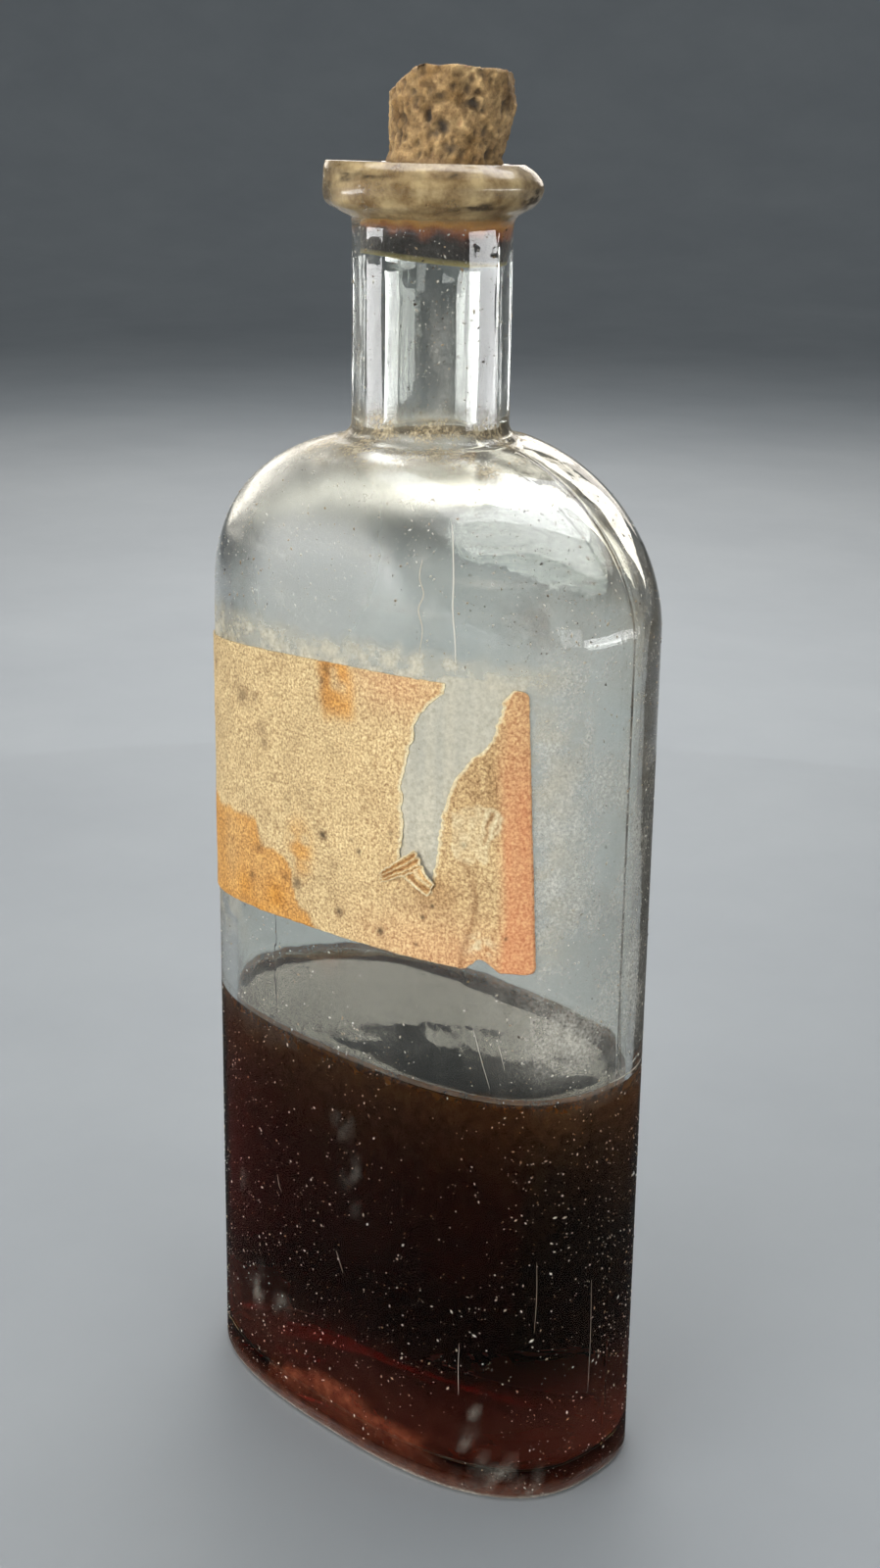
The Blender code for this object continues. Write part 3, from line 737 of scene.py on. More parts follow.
def cork_finish():
    """Natural cork, dry and crumbling above the lip, soaked with tincture and shiny where the glass grips it."""
    material, place = new_finish("natural_cork")
    keys = ("hollow", "relief", "up")
    read = [add_node(material, "Attribute", {"attribute_name": key}).outputs["Fac"] for key in keys]
    hollow, relief, height = read
    grain = add_node(material, "TexNoise", Vector=place, Scale=800.0, Detail=4.0, Roughness=0.7)
    patches = add_node(material, "TexNoise", Vector=place, Scale=240.0, Detail=3.0, Roughness=0.6)
    dry = add_node(material, "ValToRGB", stops=((0.32, "#8C7554"), (0.68, "#C9B592")), Fac=patches)
    grit = add_node(material, "ValToRGB", stops=((0.30, "#786047"), (0.72, "#E6D5B6")), Fac=grain)
    mixed = add_node(material, "MixRGB", {"blend_type": "OVERLAY"}, Fac=0.8, Color1=dry, Color2=grit)
    # Painted shade and highlight: darker where the crumbled relief sinks, lighter where it stands out.
    shade = add_node(material, "MapRange", Value=relief, From_Min=-0.20, From_Max=0.12, To_Min=0.48, To_Max=1.14)
    raised = add_node(material, "MixRGB", {"blend_type": "MULTIPLY"}, Fac=1.0, Color1=mixed, Color2=shade)
    # The pits go dark by their depth: partly the cork's own dark pores, partly painted shade.
    pitted = add_node(material, "MixRGB", Fac=hollow, Color1=raised, Color2="#4A423A")
    streaks = add_node(material, "TexNoise", Vector=place, Scale=320.0, Detail=3.0)
    waver = add_node(material, "MapRange", Value=streaks, From_Min=0.3, From_Max=0.7, To_Min=-0.9, To_Max=0.9)
    wavy = add_node(material, "Math", {"operation": "ADD"}, _0=height, _1=waver)
    soak = add_node(material, "MapRange", Value=wavy, From_Min=0.0, From_Max=13.0, To_Min=0.0, To_Max=1.0)
    soaked = ((0.0, "#140804"), (0.62, "#93734C"))
    soaked += ((0.20, "#1A0A05"), (0.27, "#4E1F09"), (0.34, "#AC580C"), (0.43, "#DB9026"))
    wet = add_node(material, "ValToRGB", stops=soaked, Fac=soak)
    dryness = add_node(material, "MapRange", Value=wavy, From_Min=10.6, From_Max=12.6, To_Min=0.0, To_Max=1.0)
    colour = add_node(material, "MixRGB", Fac=dryness, Color1=wet, Color2=pitted)
    rim = add_node(material, "MapRange", Value=height, From_Min=0.1, From_Max=0.9, To_Min=0.95, To_Max=0.0)
    colour = add_node(material, "MixRGB", Fac=rim, Color1=colour, Color2="#E2CE80")
    rough = add_node(material, "MapRange", Value=dryness, To_Min=0.28, To_Max=0.92)
    bump = add_node(material, "Bump", Strength=0.9, Distance=0.0005, Height=grain)
    return set_shader(material, Base_Color=colour, Roughness=rough, Normal=bump)


# Label


def wall_place(along, height, lift):
    """The point that far round the body's wall from the middle of its front, lifted off it along its normal."""
    _, x, y, walked = body_outline(7200)
    girth = walked[-1]
    step_x, step_y = np.gradient(x), np.gradient(y)
    step = np.hypot(step_x, step_y)
    place = 0.75 * girth + np.asarray(along)
    looked_up = [np.interp(place, walked, row, period=girth) for row in (x, y, step_y / step, -step_x / step)]
    x, y, normal_x, normal_y = looked_up
    return np.stack([x + lift * normal_x, y + lift * normal_y, height + 0 * place], axis=-1)


def label_place(across, up):
    """Where a place on the flat label, in shares from its lower left corner, lies round and up the wall."""
    flat_x = (across - 0.5) * LABEL_WIDTH
    flat_z = (up - 0.5) * LABEL_HEIGHT
    bow = LABEL_BOW * (1 - (2 * across - 1) ** 2)
    along = flat_x * math.cos(LABEL_TILT) - flat_z * math.sin(LABEL_TILT)
    height = LABEL_MIDDLE + bow + flat_x * math.sin(LABEL_TILT) + flat_z * math.cos(LABEL_TILT)
    return along, height


# The tear: height on the label, and its left and right edges across it
TEAR = (
    (0.262, 0.772, 0.784), (0.285, 0.742, 0.790), (0.344, 0.713, 0.799), (0.400, 0.722, 0.803),
    (0.451, 0.726, 0.809), (0.523, 0.725, 0.817), (0.580, 0.724, 0.824), (0.618, 0.724, 0.832),
    (0.660, 0.733, 0.846), (0.700, 0.741, 0.862), (0.755, 0.748, 0.888), (0.800, 0.760, 0.915),
    (0.842, 0.763, 0.930), (0.867, 0.768, 0.938), (0.897, 0.783, 0.946), (0.928, 0.801, 0.951),
    (0.960, 0.828, 0.955), (0.985, 0.836, 0.966), (1.000, 0.833, 0.974),
)
# Brown foxing spots: across, up, radius in mm, strength
FOXING = (
    (0.504, 0.365, 0.75, 0.95), (0.608, 0.341, 0.45, 0.8), (0.433, 0.508, 0.35, 0.5), (0.477, 0.527, 0.35, 0.5),
    (0.417, 0.152, 0.95, 0.75), (0.546, 0.095, 0.75, 0.8), (0.660, 0.065, 0.65, 0.9), (0.768, 0.158, 0.35, 0.9),
    (0.792, 0.208, 0.3, 0.8), (0.750, 0.052, 0.3, 0.7), (0.864, 0.447, 0.45, 0.8), (0.944, 0.128, 0.25, 0.8),
    (0.257, 0.123, 0.8, 0.55), (0.286, 0.242, 0.6, 0.5), (0.695, 0.436, 0.45, 0.5), (0.380, 0.163, 0.6, 0.5),
    (0.587, 0.376, 0.35, 0.5), (0.242, 0.807, 1.3, 0.6), (0.295, 0.815, 0.9, 0.4), (0.314, 0.706, 1.1, 0.35),
    (0.322, 0.651, 0.8, 0.4), (0.369, 0.843, 0.5, 0.45), (0.531, 0.975, 0.8, 0.6), (0.519, 0.930, 0.6, 0.6),
    (0.15, 0.55, 0.7, 0.35), (0.09, 0.90, 1.0, 0.4),
)
# The lower edge of the old brown stain at the label's foot: across, up
STAIN_EDGE = (
    (0.00, 0.44), (0.06, 0.361), (0.171, 0.351), (0.276, 0.347), (0.288, 0.282), (0.356, 0.247), (0.392, 0.232),
    (0.402, 0.126), (0.415, 0.05), (0.458, 0.012), (0.50, -0.05), (1.0, -0.2),
)
# The crease beside the torn strip: across, up
CREASE = ((0.860, 0.391), (0.881, 0.333), (0.887, 0.252), (0.877, 0.176), (0.857, 0.077), (0.848, 0.0))
# Corners of the patch whose printed skin has peeled away: across, up
SKINNED = (
    (0.839, 0.557), (0.906, 0.587), (0.936, 0.578), (0.945, 0.553), (0.935, 0.516), (0.914, 0.472), (0.903, 0.402),
    (0.881, 0.388), (0.847, 0.402), (0.836, 0.421),
)


def line_distance(across, up, line, closed=False):
    """Distance in mm on the flat label from each place to a broken line."""
    corners = np.array(line) * (LABEL_WIDTH, LABEL_HEIGHT)
    if closed:
        corners = np.concatenate([corners, corners[:1]])
    place = np.stack([across * LABEL_WIDTH, up * LABEL_HEIGHT], axis=-1)
    nearest = np.full(across.shape, 1e9)
    for start, end in zip(corners, corners[1:]):
        way = end - start
        share = np.clip(((place - start) @ way) / (way @ way), 0, 1)
        nearest = np.minimum(nearest, np.linalg.norm(place - start - share[..., None] * way, axis=-1))
    return nearest


def inside_outline(across, up, outline):
    """True where a place lies inside a closed outline: a line to the right crosses it an odd number of times."""
    corners = np.array(outline)
    after = np.roll(corners, -1, axis=0)
    inside = np.zeros(across.shape, bool)
    for (x0, y0), (x1, y1) in zip(corners, after):
        straddles = (y0 > up) != (y1 > up)
        crossing = x0 + (up - y0) * (x1 - x0) / ((y1 - y0) or 1e-9)
        inside ^= straddles & (across < crossing)
    return inside


def spaced_from_edges(count, near):
    """Places from 0 to 1 that crowd towards 1 when near is positive, and towards 0 when it is negative."""
    share = np.linspace(0, 1, count)
    return 1 - (1 - share) ** near if near > 0 else share**-near


def label_grid():
    """Places across and up the label. Columns follow the two edges of the tear, which wander as torn fibres do."""
    rows = 210
    up = np.linspace(0, 1, rows)
    known, left, right = np.array(TEAR).T
    in_tear = np.maximum(up, known[0])
    place = np.stack([0 * up, up * LABEL_HEIGHT, 0 * up], axis=-1)
    jag_left = 0.30 * soft_noise(place, 1.6, 71) + 0.22 * soft_noise(place, 0.45, 72)
    jag_right = 0.38 * soft_noise(place, 1.9, 73) + 0.26 * soft_noise(place, 0.5, 74)
    left_edge = np.interp(in_tear, known, left) + jag_left / LABEL_WIDTH
    right_edge = np.interp(in_tear, known, right) + jag_right / LABEL_WIDTH
    right_edge = np.maximum(right_edge, left_edge + 0.004)
    corner = 1.1
    from_end = np.minimum(up, 1 - up) * LABEL_HEIGHT
    rounded = corner - np.sqrt(np.maximum(corner**2 - np.maximum(corner - from_end, 0) ** 2, 0))
    last = 1 - (rounded + 0.06 * soft_noise(place, 0.8, 75)) / LABEL_WIDTH
    first = (0.5 * rounded + 0.10 * soft_noise(place, 1.1, 76)) / LABEL_WIDTH
    left_columns, gap_steps = 104, 7
    before = first[:, None] + (left_edge - first)[:, None] * spaced_from_edges(left_columns, 1.6)
    gap = left_edge[:, None] + (right_edge - left_edge)[:, None] * np.linspace(0, 1, gap_steps + 1)[1:-1]
    after = right_edge[:, None] + (last - right_edge)[:, None] * spaced_from_edges(56, -1.5)
    across = np.concatenate([before, gap, after], axis=1)
    tear_columns = np.arange(left_columns - 1, left_columns - 1 + gap_steps)
    return across, np.repeat(up[:, None], across.shape[1], axis=1), tear_columns, known[0]


def ragged_ends(across, up):
    """Moves the label's top and foot by a hair, and cuts the nick in its foot, fading away from the ends."""
    place = np.stack([across * LABEL_WIDTH, 0 * up, 0 * up], axis=-1)
    top = 0.07 * soft_noise(place, 1.2, 77) + 0.05 * soft_noise(place, 0.4, 78)
    foot = 0.10 * soft_noise(place, 1.3, 79) + 0.06 * soft_noise(place, 0.45, 80)
    nick = 1.45 * np.clip(1 - np.abs((across - 0.894) / 0.034) ** 1.6, 0, 1)
    nick += np.where(nick > 0.1, 0.22 * soft_noise(place, 0.5, 81), 0)
    near_top = smooth_step(up, 0.88, 1.0)
    near_foot = 1 - smooth_step(up, 0.0, 0.12)
    return up + (near_top * top + near_foot * (foot + nick)) / LABEL_HEIGHT


def make_label(material):
    """A sheet bent round the front: torn, creased and peeled, with feathered edges along the tear."""
    across, up, tear_columns, tear_foot = label_grid()
    flat = np.stack([across * LABEL_WIDTH, up * LABEL_HEIGHT, 0 * up], axis=-1)
    up_edge = ragged_ends(across, up)
    quads = grid_faces(*across.shape, False)
    column = quads[:, 0] % across.shape[1]
    row = quads[:, 0] // across.shape[1]
    torn = np.isin(column, tear_columns) & (up[row, 0] >= tear_foot - 1e-6)
    quads = quads[~torn]
    known, left, right = np.array(TEAR).T
    sideways = np.where(across < 0.5 * (np.interp(up, known, left) + np.interp(up, known, right)), -1, 1)
    left_column, right_column = across[:, tear_columns[0]][:, None], across[:, tear_columns[-1] + 1][:, None]
    from_tear = np.where(sideways < 0, left_column - across, across - right_column) * LABEL_WIDTH
    from_tear = np.hypot(np.maximum(from_tear, 0), np.maximum(tear_foot - up, 0) * LABEL_HEIGHT)
    fray = 0.5 + 0.5 * soft_noise(flat, 0.9, 83)
    width = np.where(sideways < 0, 0.40 + 0.45 * fray, 0.30 + 0.6 * fray)
    pale_edge = 1 - smooth_step(from_tear, 0.35 * width, width)
    patch_line = line_distance(across, up, SKINNED, True)
    wander = 0.45 * soft_noise(flat, 1.3, 84) + 0.25 * soft_noise(flat, 0.5, 85)
    in_patch = np.where(inside_outline(across, up, SKINNED), 1, -1) * patch_line + wander
    peeled = smooth_step(in_patch, -0.1, 0.15)
    ridge = bell(in_patch / 0.28) * smooth_step(across, 0.835, 0.93)
    crease = line_distance(across + 0.004 * soft_noise(flat, 1.2, 86), up, CREASE)
    fold = bell(crease / 0.42) * (0.8 + 0.35 * soft_noise(flat, 1.0, 87))
    pucker = bell(crease / 1.6)
    scuff = np.exp(-(((across - 0.892) / 0.028) ** 2 + ((up - 0.085) / 0.05) ** 2) ** 1.5)
    scuff = scuff * smooth_step(soft_noise(flat, 0.7, 88), -0.5, 0.4)
    pleats = 0.5 + 0.5 * np.sin((flat[..., 0] - 0.35 * flat[..., 1]) * 5.2 + 1.5 * soft_noise(flat, 1.2, 93))
    # Where the skin has crumpled into pleats, the crests are painted pale, a painted highlight, and the troughs dark
    # brown through fold, painted shade.
    crumpled = peeled * smooth_step(across, 0.898, 0.912) * smooth_step(up, 0.43, 0.47)
    peeled = peeled * (0.42 + 0.3 * soft_noise(flat, 0.8, 94)) * (1 - crumpled) + crumpled * pleats
    skin = np.clip(1 - np.maximum.reduce([pale_edge, peeled, 0.8 * scuff, 0.75 * ridge]), 0, 1)
    cockle = 0.05 * soft_noise(flat, (7, 5, 1), 89) + 0.03 * soft_noise(flat, (1.8, 1.8, 1), 90)
    fibre = 0.014 * soft_noise(flat, 0.3, 91)
    curl = 0.22 * np.exp(-from_tear / 0.9) * smooth_step(soft_noise(flat, 3.5, 92), -0.4, 0.8)
    thick = 0.17 * skin + 0.07 * (1 - skin) + fibre
    thick = thick + 0.16 * fold + 0.10 * ridge + 0.06 * scuff + 0.22 * crumpled * pleats
    lift = 0.05 + np.maximum(cockle + 0.05, 0) + curl + 0.10 * pucker * fold
    along, height = label_place(across, up_edge)
    front = wall_place(along, height, lift + thick).reshape(-1, 3)
    back = wall_place(along, height, 0.035 + 0 * lift + curl).reshape(-1, 3)
    points, faces, used = thicken(front, back, quads)
    paints = label_paints(across, up, flat)
    # fold is dark brown along the crease and in the troughs of the pleats: painted shade.
    paints.update({"skin": skin, "fold": np.clip(0.9 * fold + 0.7 * crumpled * (1 - pleats), 0, 1)})
    values = {key: np.concatenate([numbers.ravel()[used]] * 2) for key, numbers in paints.items()}
    values["skin"][len(used) :] *= 0.0
    values["u"] = np.concatenate([flat[..., 0].ravel()[used]] * 2)
    values["v"] = np.concatenate([flat[..., 1].ravel()[used]] * 2)
    label = put_mesh("torn_label", points, faces, material, "bottle", "label_paper", values)
    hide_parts("paper_label")
    return label


def make_scrap(material):
    """What is left of the torn strip: a pleated ribbon that curls up off the tear's foot, and a fold beside it.

    Each sheet blends its four corners, lifts off the wall as sin(pi u), and its pleats are a cosine across it.
    """
    u, v = np.meshgrid(np.linspace(0, 1, 64), np.linspace(0, 1, 34))
    pieces, paints = [], []
    for corners, foot, arch, pleats, deep in (
        (((11.9, 89.7), (18.7, 93.0), (17.5, 95.6), (11.7, 91.0)), 0.25, 0.75, 3.0, 0.20),
        (((15.2, 91.9), (19.5, 89.4), (20.4, 91.4), (18.6, 93.4)), 0.22, 0.70, 1.4, 0.16),
    ):
        a, b, c, d = np.array(corners)[:, :, None, None]
        place = (1 - v) * ((1 - u) * a + u * b) + v * ((1 - u) * d + u * c)
        flat = np.stack([place[0], place[1], 0 * u], axis=-1)
        along = place[0] + 0.10 * soft_noise(flat, 0.7, 95) + 0.07 * soft_noise(flat, 0.3, 96)
        height = place[1] + 0.12 * soft_noise(flat, 0.6, 97) + 0.07 * soft_noise(flat, 0.3, 98)
        wave = np.cos(2 * math.pi * pleats * v + 0.9 * np.sin(3 * u) + 0.8 * soft_noise(flat, 2.0, 99))
        lift = foot + arch * np.sin(math.pi * np.clip(0.12 + 0.8 * u, 0, 1)) + 0.30 * v * v * u + deep * wave
        front = wall_place(along, height, lift + 0.11).reshape(-1, 3)
        back = wall_place(along, height, lift).reshape(-1, 3)
        pieces.append(thicken(front, back, grid_faces(*u.shape, False))[:2])
        edge = np.minimum.reduce([u * 6.5, (1 - u) * 6.5, (1 - v) * 2.6, v * 2.6])
        # Pale torn edges are bare fibres; pale crests of the pleats are a painted highlight, and dark brown troughs are
        # painted shade.
        pale = np.maximum(1 - smooth_step(edge, 0.12, 0.38), 0.55 * smooth_step(wave, 0.3, 1.0))
        groove_shade = smooth_step(-wave, 0.1, 0.9) * smooth_step(edge, 0.1, 0.4)
        paints.append(np.stack([1 - pale.ravel(), groove_shade.ravel()]).repeat(2, axis=0).reshape(2, -1))
    skin, fold = np.concatenate(paints, axis=1)
    values = {"skin": skin, "fold": fold, "ochre": 0.35 + 0 * skin}
    values.update({key: 0 * skin for key in ("red", "foxing", "dirt")})
    return put_mesh("curled_scrap", *joined(pieces), material, "bottle", "label_paper", values)


def label_paints(across, up, flat):
    """How strongly each stain colours each place: old glue stain, soft brown stain, red band, foxing and grey dirt."""
    edge_u, edge_v = np.array(STAIN_EDGE).T
    wander = 0.9 * soft_noise(flat, 3.0, 101) + 0.5 * soft_noise(flat, 1.0, 102)
    under = (np.interp(across, edge_u, edge_v) - up) * LABEL_HEIGHT + wander
    ochre = smooth_step(under, -0.5, 0.6) * (0.75 + 0.25 * soft_noise(flat, 4.0, 103))
    blob = np.exp(-((((across - 0.43) / 0.038) ** 2 + ((up - 0.29) / 0.10) ** 2) ** 1.6))
    ochre = np.maximum(ochre, 0.75 * blob * smooth_step(soft_noise(flat, 1.6, 104), -0.7, 0.3))
    top = band(across, 0.49, 0.53, 0.585, 0.625) * smooth_step(up, 0.76, 0.86)
    top = top * smooth_step(soft_noise(flat, 1.7, 105), -0.7, 0.35)
    ochre = np.maximum(ochre, 0.8 * top)
    edge = 0.945 + 0.006 * soft_noise(flat, (1, 6, 1), 106) - 0.012 * (1 - up)
    red = smooth_step(across, edge - 0.018, edge + 0.022) * (0.85 + 0.15 * soft_noise(flat, (1.2, 9, 1), 107))
    red *= 1 - 0.60 * smooth_step(up, 0.45, 0.95)
    blush = smooth_step(across, 0.45, 0.85) * (0.06 + 0.45 * bell((up - 0.02) / 0.14))
    blush += 0.35 * np.exp(-(((across - 0.72) / 0.12) ** 2 + ((up - 0.97) / 0.10) ** 2))
    foxing = 0.0 * up
    for place, rise, size, strength in FOXING:
        away = np.hypot((across - place) * LABEL_WIDTH, (up - rise) * LABEL_HEIGHT) / size
        foxing = np.maximum(foxing, strength * bell(away))
    foxing = np.clip(1.5 * foxing * (0.8 + 0.2 * soft_noise(flat, 0.4, 108)), 0, 1)
    foxing = np.maximum(foxing, 0.30 * bell(under / 0.45) * smooth_step(soft_noise(flat, 2.5, 110), -0.4, 0.5))
    mottle = smooth_step(crumb_noise(flat, 3.0, 111, 3), 0.35, 1.0)
    foxing = np.maximum(foxing, 0.22 * mottle * (1 - smooth_step(across, 0.55, 0.8)))
    strip = smooth_step(across, 0.80, 0.86) * smooth_step(up, 0.35, 0.62) * (1 - smooth_step(across, 0.93, 0.965))
    streaks = 0.6 + 0.4 * soft_noise(flat, (0.8, 7, 1), 109)
    column = smooth_step(across, edge - 0.018, edge + 0.022) * smooth_step(up, 0.40, 0.80)
    thumbed = np.exp(-(((across - 0.80) / 0.07) ** 2 + ((up - 0.27) / 0.09) ** 2))
    dirt = np.maximum.reduce([0.8 * strip * streaks, 0.45 * column * streaks, 0.75 * thumbed])
    return {"ochre": ochre, "red": np.clip(red + blush, 0, 1), "foxing": foxing, "dirt": np.clip(dirt, 0, 1)}


def label_paper():
    """Rag paper gone tan with age: grainy, blotched, its torn fibres and peeled patch pale and rough."""
    material, place = new_finish("aged_label_paper")
    read = {
        key: add_node(material, "Attribute", {"attribute_name": key}).outputs["Fac"]
        for key in ("ochre", "red", "foxing", "dirt", "skin", "fold")
    }
    grain = add_node(material, "TexNoise", Vector=place, Scale=2600.0, Detail=3.0, Roughness=0.75)
    cloud = add_node(material, "TexNoise", Vector=place, Scale=180.0, Detail=4.0, Roughness=0.65)
    base = add_node(material, "ValToRGB", stops=((0.30, "#94764C"), (0.66, "#F6DFB4")), Fac=grain)
    tone = add_node(material, "MapRange", Value=cloud, From_Min=0.3, From_Max=0.7, To_Min=0.82, To_Max=1.08)
    layers = add_node(material, "MixRGB", {"blend_type": "MULTIPLY"}, Fac=1.0, Color1=base, Color2=tone)
    for key, code, blend, most in (
        ("ochre", "#FAC464", "MULTIPLY", 0.95),
        ("dirt", "#9A8668", "MULTIPLY", 0.75),
        ("red", "#DC8660", "MIX", 0.64),
        ("foxing", "#3E3222", "MIX", 0.9),
        # fold: painted shade along the crease and in the troughs of pleats
        ("fold", "#6B4423", "MIX", 0.6),
    ):
        amount = add_node(material, "Math", {"operation": "MULTIPLY"}, _0=read[key], _1=most)
        layers = add_node(material, "MixRGB", {"blend_type": blend}, Fac=amount, Color1=layers, Color2=code)
    grained = add_node(material, "MixRGB", {"blend_type": "OVERLAY"}, Fac=0.35, Color1=layers, Color2=base)
    fibres = add_node(material, "ValToRGB", stops=((0.25, "#B99A68"), (0.62, "#F3E6BE")), Fac=grain)
    skinned = add_node(material, "MixRGB", Fac=read["skin"], Color1=fibres, Color2=grained)
    bump = add_node(material, "Bump", Strength=0.55, Distance=0.0002, Height=grain)
    return set_shader(material, Base_Color=skinned, Roughness=0.82, Normal=bump)


# Paste left round the label


def make_paste(material):
    """A thin film on the wall round the label: thick just above it and in the tear, brushed out at its edges."""
    along, height = np.meshgrid(np.linspace(-36, 44, 210), np.linspace(66, 131, 170))
    flat = np.stack([along, height, 0 * along], axis=-1)
    top_edge = label_top(along)
    over = height - top_edge
    level = flat * (1, 0, 1)
    reach = 4.2 + 1.6 * soft_noise(level, (9, 1, 1), 121) + 1.1 * soft_noise(level, (1.6, 1, 1), 122)
    reach = reach + 2.6 * bell((along + 22) / 12)
    above = smooth_step(over, -1.5, 0.0) * (1 - smooth_step(over, 0.35 * reach, reach))
    above *= 1 - smooth_step(along, 30.0, 40.0)
    across, up = on_label(along, height)
    known, left, right = np.array(TEAR).T
    in_tear = (up > known[0] - 0.01) & (up <= 1.02) & (across > np.interp(up, known, left) - 0.02)
    in_tear &= across < np.interp(up, known, right) + 0.02
    beside = smooth_step(across, 0.97, 1.0) * (1 - smooth_step(along, 34.0, 43.0)) * smooth_step(up, -0.05, 0.1)
    beside = 0.35 * beside * (1 - smooth_step(up, 0.85, 1.1))
    below = 0.35 * bell(np.minimum(over + 42.0, 0) / 3.0) * (over < -36.0) * (1 - smooth_step(along, -24, -14))
    clots = smooth_step(crumb_noise(flat, (2.2, 1.5, 1), 123, 3), -0.7, 0.6)
    brushed = 0.5 + 0.5 * soft_noise(flat, (1.4, 14, 1), 124)
    in_film = 0.46 + 0.30 * brushed + 0.16 * smooth_step(0.80 - up, 0.0, 0.3)
    amount = np.maximum.reduce([0.80 * above * (0.4 + 0.6 * clots), in_tear * in_film, beside * clots, below * clots])
    amount = np.clip(amount, 0, 1)
    front = wall_place(along, height, 0.02)
    points, faces, used = keep_faces(front, grid_faces(*along.shape, False), amount, 0.02)
    return put_mesh("paste_film", points, faces, material, "bottle", "label_paper", {"paste": used})


def label_top(along):
    """Height of the label's top edge over each place round the wall."""
    across = along / LABEL_WIDTH + 0.5
    bow = LABEL_BOW * (1 - (2 * np.clip(across, 0, 1) - 1) ** 2)
    climb = (along + LABEL_HEIGHT / 2 * math.sin(LABEL_TILT)) * math.tan(LABEL_TILT)
    return LABEL_MIDDLE + LABEL_HEIGHT / 2 + bow + climb


def on_label(along, height):
    """The shares across and up the label of places on the wall: its bow and tilt are undone, three times."""
    up_from_middle = height - LABEL_MIDDLE
    across = along / LABEL_WIDTH + 0.5
    for _ in range(3):
        bow = LABEL_BOW * (1 - (2 * np.clip(across, 0, 1) - 1) ** 2)
        flat_x = along * math.cos(LABEL_TILT) + (up_from_middle - bow) * math.sin(LABEL_TILT)
        flat_z = (up_from_middle - bow) * math.cos(LABEL_TILT) - along * math.sin(LABEL_TILT)
        across = flat_x / LABEL_WIDTH + 0.5
    return across, flat_z / LABEL_HEIGHT + 0.5


def paste_finish():
    """Dried flour paste: a chalky, see-through white film that breaks up into specks."""
    material, place = new_finish("dried_flour_paste")
    amount = add_node(material, "Attribute", {"attribute_name": "paste"}).outputs["Fac"]
    grain = add_node(material, "TexNoise", Vector=place, Scale=1500.0, Detail=4.0, Roughness=0.7)
    broken = add_node(material, "MapRange", Value=grain, From_Min=0.34, From_Max=0.62, To_Min=0.78, To_Max=1.0)
    cover = add_node(material, "Math", {"operation": "MULTIPLY"}, _0=amount, _1=broken)
    tone = add_node(material, "ValToRGB", stops=((0.3, "#BFB498"), (0.7, "#E2DAC4")), Fac=grain)
    return set_shader(material, Base_Color=tone, Roughness=0.9, Alpha=cover)


# Dirt, dust and marks on the glass, and glows painted on it


def make_film(name, rings, lift, amount, material):
    """A film over closed rings of the glass, lifted off along their normals, where there is an amount."""
    amount = np.clip(amount, 0, 1)
    points = rings + lift * outward(rings)
    skin, faces, used = keep_faces(points, grid_faces(*rings.shape[:2], True), amount)
    return put_mesh(name, skin, faces, material, "bottle", "bottle_glass", {"amount": used})


def near(rings, middle, size):
    """1 at a middle, fading away as exp(-(distance / size) ** 2), with a size of its own along each axis."""
    away = (rings - np.array(middle)) / np.array(size)
    return np.exp(-(away**2).sum(-1))


def make_dust_haze(rings, material):
    """Dust that has settled and been wiped about: over the shoulder, up the neck, and round the ends."""
    height = rings[..., 2]
    broad = 0.5 + 0.5 * soft_noise(rings, (16, 16, 22), 201)
    wiped = 0.5 + 0.5 * crumb_noise(rings, (5, 5, 9), 202, 3)
    fine = 0.65 + 0.35 * soft_noise(rings, (1.1, 1.1, 2.4), 206)
    streaks = soft_noise(rings, (1.5, 1.5, 26), 207) + 0.5 * soft_noise(rings, (0.7, 0.7, 9), 208)
    streaks = smooth_step(streaks, -0.2, 1.0)
    arcs = soft_noise(rings, (15, 15, 1.5), 209) + 0.6 * soft_noise(rings, (7, 7, 0.7), 210)
    arcs = smooth_step(arcs, -0.1, 1.1)
    runs = soft_noise(rings, (2.4, 2.4, 60), 211)
    right = smooth_step(rings[..., 0], 24.0, 33.0) * (1 - smooth_step(height, 112.0, 132.0))
    right *= 1 - 0.8 * smooth_step(rings[..., 1], 4.0, 9.0)
    shoulder = band(height, 118.0, 136.0, 146.0, 149.0)
    ends = smooth_step(np.abs(rings[..., 0]), 27.0, 35.0)
    neck = band(height, 147.0, 150.0, 171.0, 173.0)
    clear = smooth_step(height, 58.0, 72.0)
    amount = shoulder * (0.10 * wiped + 0.36 * arcs) + clear * (0.04 + 0.14 * broad * wiped)
    washed = 0.60 * clear * right * (0.35 + 0.65 * wiped) * (0.55 + 0.45 * runs)
    amount += clear * ends * wiped * (0.20 + 0.20 * right) + washed
    amount += neck * (0.03 + 0.34 * streaks) * (1 - 0.92 * smooth_step(height, 160.0, 166.5))
    amount += 0.10 * near(rings, (-20.0, -19.5, 68.0), (16.0, 8.0, 8.0)) * (0.5 + 0.5 * wiped)
    amount = amount * fine * smooth_step(height, 0.6, 2.5) * (1 - smooth_step(height, 173.0, 174.5))
    return make_film("dust_haze", rings, 0.02, amount, material)


# Pale smears over the tincture: place in mm, size in mm, strength
SMEARS = (
    ((25.6, -15.4, 6.5), (1.6, 1.6, 3.4), 0.34),
    ((29.0, -13.6, 4.6), (2.2, 2.2, 2.6), 0.30),
    ((33.0, -10.4, 2.4), (1.6, 1.6, 2.2), 0.26),
    ((26.9, -15.4, 14.4), (1.0, 1.0, 1.3), 0.36),
    ((-20.5, -19.0, 33.5), (1.0, 1.0, 2.4), 0.26),
    ((-15.0, -19.5, 22.5), (1.2, 1.2, 3.0), 0.28),
    ((-16.5, -19.4, 16.0), (2.0, 2.0, 1.6), 0.32),
    ((-10.0, -19.6, 16.5), (1.4, 1.4, 1.4), 0.26),
    ((6.0, -19.6, 43.0), (1.3, 1.3, 3.6), 0.16),
    ((4.0, -19.7, 51.0), (2.4, 2.4, 1.2), 0.12),
)


